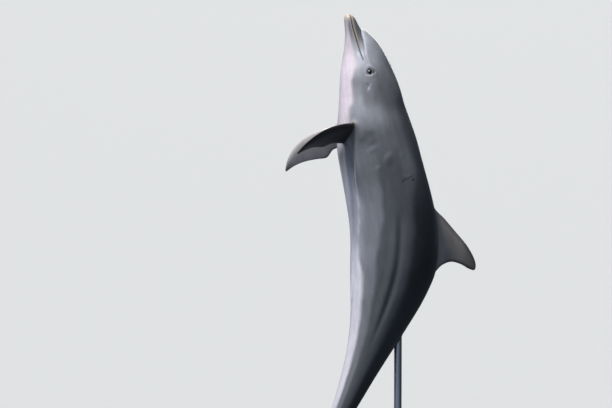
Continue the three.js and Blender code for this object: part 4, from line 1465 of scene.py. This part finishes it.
def skin_tone(tree, place):
    """The skin's colour without scars and scratches: the stored tone stirred by noise and by streaks along
    the body, made a grey, tinted pink on throat and belly and warmer on the fins, with tan lips, a pale line
    of painted highlight along the belly's edge, and the pale and dark marks of the face, most of them painted
    highlight and painted shade."""
    flow = add(tree, "Attribute", attribute_name="flow").outputs["Vector"]
    stir = calc(tree, "SUBTRACT", noise(tree, place, 16.0, 4.0, 0.6), 0.5)
    streaks = calc(tree, "SUBTRACT", noise(tree, flow, 38.0, 4.0, 0.6), 0.5)
    swing = plus(tree, times(tree, stir, 0.08), times(tree, streaks, 0.22), 1.0)
    light = calc(tree, "POWER", times(tree, field(tree, "tone"), swing), TONE_POWER)
    tint = mixed(tree, field(tree, "pink"), COOL_GREY, PINKISH)
    tint = mixed(tree, ease(tree, field(tree, "fin"), 0.05, 0.4), tint, FIN_GREY)
    tone = mixed(tree, 1.0, grey(tree, light), tint, "MULTIPLY")
    tone = mixed(tree, times(tree, field(tree, "lips"), 0.7), tone, TAN_LIP)
    # A thin line of painted highlight along the belly's edge.
    line = ease(tree, calc(tree, "ABSOLUTE", field(tree, "edge")), 7.0, 0.0)
    line = times(tree, line, field(tree, "edge_amount"), 0.4)
    tone = mixed(tree, calc(tree, "MAXIMUM", field(tree, "pale"), line), tone, PALE_MARK_AND_HIGHLIGHT)
    return mixed(tree, times(tree, field(tree, "dark"), 0.92), tone, DARK_MARK_AND_SHADE)


def skin_height(tree, place):
    """The skin's small relief in metres: a fine grain, and patchy furrows round the eye, a sine over the
    share of the way out from the lids with noise added."""
    height = placed(tree, grain, size=120.0, depth=0.0004)
    lids = field(tree, "lids")
    stray = times(tree, noise(tree, place, 55.0, 2.0), 11.0)
    furrow = calc(tree, "SINE", plus(tree, times(tree, lids, 13.0), stray))
    patchy = times(tree, ease(tree, noise(tree, place, 70.0, 2.0), 0.38, 0.62), 0.00026)
    ringed = times(tree, ease(tree, lids, 1.1, 1.4), ease(tree, lids, 3.0, 1.5))
    return plus(tree, height, times(tree, furrow, patchy, ringed))


def all_folds(tree):
    """The summed height of the folds behind the flipper."""
    folds = 0.0
    for *places, reach, rise in FOLDS:
        start, end = left_side(places)
        folds = plus(tree, folds, placed(tree, fold, start=start, end=end, reach=reach, rise=rise))
    return folds


def wet_skin():
    """Wet skin whose tone runs from near black on the back, partly painted shade, to pinkish white under the
    throat and belly, with scars, sparse scratches, mottling, painted shade in hollows and painted light on
    ridges, and drier lips, lids and fin roots."""
    made, tree, shader = material("wet_skin", Specular_IOR_Level=0.4, Coat_Roughness=0.18, Coat_IOR=1.35)
    place = add(tree, "TexCoord").outputs["Object"]
    tone = skin_tone(tree, place)
    for places in SCARS:
        start, end = left_side(places)
        mark = placed(tree, scar, start=start, end=end, width=0.0085)
        tone = mixed(tree, times(tree, mark, 0.65), tone, SCAR_GREY)
    tone = mixed(tree, placed(tree, scratches, size=20.0, width=0.10, amount=0.16), tone, SCRATCH_GREY)
    height, folds = skin_height(tree, place), all_folds(tree)
    # Painted shade in the hollows and painted light on the ridges of the fine relief and the folds.
    painted_relief_light = ease(tree, plus(tree, height, folds), -0.002, 0.002, 0.76, 1.24)
    tone = mixed(tree, 1.0, tone, grey(tree, painted_relief_light), "MULTIPLY")
    tree.links.new(placed(tree, mottle, colour=tone, size=9.0, amount=0.34), shader.inputs["Base Color"])
    of_fin = field(tree, "fin")
    root = times(tree, ease(tree, of_fin, 0.0, 0.12), ease(tree, of_fin, 0.9, 0.5))
    root = calc(tree, "MAXIMUM", root, ease(tree, field(tree, "lids"), 2.2, 1.3))
    dry = calc(tree, "SUBTRACT", 1.0, times(tree, calc(tree, "MAXIMUM", field(tree, "lips"), root), 0.85))
    coat = ease(tree, noise(tree, place, 7.0, 3.0), 0.35, 0.65, 0.2, 0.5)
    tree.links.new(times(tree, coat, dry), shader.inputs["Coat Weight"])
    rough = ease(tree, noise(tree, place, 14.0, 4.0), 0.3, 0.7, 0.3, 0.46)
    tree.links.new(plus(tree, rough, times(tree, root, 0.25)), shader.inputs["Roughness"])
    raised(tree, shader, plus(tree, height, times(tree, folds, 1 - FOLDS_IN_MESH)))
    return made


def eye_gloss():
    """A dark brown iris with fine spokes round a wide black pupil, a dark rim and a greyish front corner."""
    made, tree, shader = material("eye_gloss", Roughness=0.1, Specular_IOR_Level=0.35)
    out, spoke = field(tree, "out"), field(tree, "spoke")
    place = add(tree, "TexCoord").outputs["Object"]
    bend = times(tree, noise(tree, place, 300.0), 9.0)
    rays = calc(tree, "SINE", plus(tree, times(tree, spoke, 46.0), bend))
    iris = mixed(tree, ease(tree, rays, -1.0, 1.0), colour(22, 17, 14), colour(40, 30, 24))
    pupil = calc(tree, "SUBTRACT", out, times(tree, ease(tree, field(tree, "upward"), 0.0, 3.0), 1.8))
    tone = mixed(tree, ease(tree, pupil, 6.8, 7.8), colour(5, 5, 7), iris)
    tone = mixed(tree, ease(tree, out, 9.8, 11.2), tone, colour(26, 23, 24))
    tone = mixed(tree, ease(tree, field(tree, "ahead"), 10.8, 12.8), tone, colour(108, 100, 104))
    tree.links.new(placed(tree, mottle, colour=tone, size=90.0, amount=0.3), shader.inputs["Base Color"])
    raised(tree, shader, placed(tree, grain, size=500.0, depth=0.00002))
    return made


def satin_paint():
    """Charcoal paint with a faint orange-peel surface and a few fine scratches."""
    made, tree, shader = material("satin_paint", Metallic=0.0, Specular_IOR_Level=0.5)
    marks = placed(tree, scratches, size=30.0, width=0.07, amount=0.3)
    tone = mixed(tree, marks, colour(46, 47, 50), colour(92, 93, 96))
    tree.links.new(placed(tree, mottle, colour=tone, size=6.0, amount=0.25), shader.inputs["Base Color"])
    tree.links.new(ease(tree, marks, 0.0, 1.0, 0.42, 0.62), shader.inputs["Roughness"])
    raised(tree, shader, placed(tree, grain, size=420.0, depth=0.00012))
    return made


def brushed_steel():
    """Steel brushed round and along, with slight clouding."""
    made, tree, shader = material("brushed_steel", Metallic=1.0)
    place = add(tree, "TexCoord").outputs["Object"]
    marks = placed(tree, scratches, size=90.0, width=0.2, amount=0.5)
    tone = mixed(tree, marks, colour(176, 177, 180), colour(208, 209, 211))
    tree.links.new(placed(tree, mottle, colour=tone, size=12.0, amount=0.2), shader.inputs["Base Color"])
    lined = add(tree, "Mapping", {"Vector": place, "Scale": (1.0, 1.0, 0.03)}).outputs[0]
    rough = ease(tree, noise(tree, lined, 900.0, 2.0), 0.3, 0.7, 0.24, 0.4)
    tree.links.new(rough, shader.inputs["Roughness"])
    raised(tree, shader, placed(tree, grain, size=700.0, depth=0.00003))
    return made


def black_rubber():
    """Matt black rubber with a slight bloom and a fine grain."""
    made, tree, shader = material("black_rubber", Specular_IOR_Level=0.35)
    place = add(tree, "TexCoord").outputs["Object"]
    bloom = ease(tree, noise(tree, place, 60.0, 3.0), 0.4, 0.7)
    tone = mixed(tree, bloom, colour(30, 30, 32), colour(47, 47, 49))
    tree.links.new(placed(tree, mottle, colour=tone, size=40.0, amount=0.3), shader.inputs["Base Color"])
    tree.links.new(ease(tree, bloom, 0.0, 1.0, 0.55, 0.72), shader.inputs["Roughness"])
    raised(tree, shader, placed(tree, grain, size=900.0, depth=0.00006))
    return made


skin.data.materials.clear()
skin.data.materials.append(wet_skin())
glossy = eye_gloss()
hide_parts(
    "beak_upper", "beak_lower", "head", "neck", "chest", "trunk", "loin", "tail_stock", "tail_end",
    "dorsal_fin", "flipper_left", "flipper_right", "fluke_left", "fluke_right",
)
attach(skin, "root")
for node, eyeball in eyes.items():
    eyeball.data.materials.append(glossy)
    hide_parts(node)
    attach(eyeball, "root")
steel, rubber = brushed_steel(), black_rubber()
plate.data.materials.append(satin_paint())
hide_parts("stand_base")
for node, piece in steel_pieces.items():
    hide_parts(node)
for piece in [*steel_pieces.values(), *screw_pieces]:
    piece.data.materials.append(steel)
for piece in rubber_pieces:
    piece.data.materials.append(rubber)
for piece in [plate, *steel_pieces.values(), *screw_pieces, *rubber_pieces]:
    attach(piece, "root")

# ---- Floor, light and camera ----
FAR = 400  # metres from the middle of the floor to its sides
FLOOR_COLOUR = (0.535, 0.525, 0.50, 1)
ROOM_LIGHT, ROOM_SEEN = (0.78, 0.97, 1.26, 1), (0.92, 0.96, 1.0, 1)
BRIGHTER_WAY = (-0.82, -0.28, 0.5)  # the room's brightest side
CAMERA_PLACE = Vector((-5.2934, -16.9354, 3.4317))
CAMERA_TARGET = Vector((-0.3591, 0.2725, 1.5502))
FOCAL_LENGTH, SENSOR_WIDTH = 184.57, 36  # mm

floor_mesh = bpy.data.meshes.new("floor")
floor_corners = [(-FAR, -FAR, 0), (FAR, -FAR, 0), (FAR, FAR, 0), (-FAR, FAR, 0)]
floor_mesh.from_pydata(floor_corners, [], [(0, 1, 2, 3)])
floor = bpy.data.objects.new("floor", floor_mesh)
bpy.context.scene.collection.objects.link(floor)
floor_finish, _, floor_shader = material("pale_floor", Roughness=0.9, Specular_IOR_Level=0.1)
floor_shader.inputs["Base Color"].default_value = FLOOR_COLOUR
floor.data.materials.append(floor_finish)
floor.visible_diffuse = floor.visible_glossy = False

lens = bpy.data.cameras.new("camera")
lens.lens, lens.sensor_width, lens.clip_end = FOCAL_LENGTH, SENSOR_WIDTH, 1000
camera = bpy.data.objects.new("camera", lens)
camera.location = CAMERA_PLACE
camera.rotation_mode = "QUATERNION"
camera.rotation_quaternion = (CAMERA_TARGET - CAMERA_PLACE).to_track_quat("-Z", "Y")
bpy.context.scene.collection.objects.link(camera)
bpy.context.scene.camera = camera


def studio_world():
    """A pale room, brighter towards the belly side and above than behind the back. Seen straight, it has the
    floor's own even paleness."""
    world = bpy.data.worlds.new("studio")
    world.use_nodes = True
    tree = world.node_tree
    way = add(tree, "TexCoord").outputs["Generated"]
    facing = vector(tree, "DOT_PRODUCT", way, BRIGHTER_WAY).outputs["Value"]
    level = ease(tree, facing, -0.7, 0.9, 0.07, 0.40)
    seen = add(tree, "LightPath").outputs["Is Camera Ray"]
    level = calc(tree, "MAXIMUM", level, times(tree, seen, 0.62))
    tree.links.new(level, tree.nodes["Background"].inputs["Strength"])
    shade = mixed(tree, seen, ROOM_LIGHT, ROOM_SEEN)
    tree.links.new(shade, tree.nodes["Background"].inputs["Color"])
    bpy.context.scene.world = world


studio_world()
bpy.context.scene.view_settings.view_transform = "Standard"


def sun(name, way, strength, spread):
    """Soft light from far away, coming from that way."""
    lamp = bpy.data.lights.new(name, "SUN")
    lamp.energy, lamp.angle = strength, np.radians(spread)
    made = bpy.data.objects.new(name, lamp)
    made.rotation_mode = "QUATERNION"
    made.rotation_quaternion = Vector(way).to_track_quat("Z", "Y")
    bpy.context.scene.collection.objects.link(made)


sun("key", (-0.42, -0.27, 0.87), 3.8, 10)
sun("fill", (0.35, 0.90, 0.35), 0.9, 40)
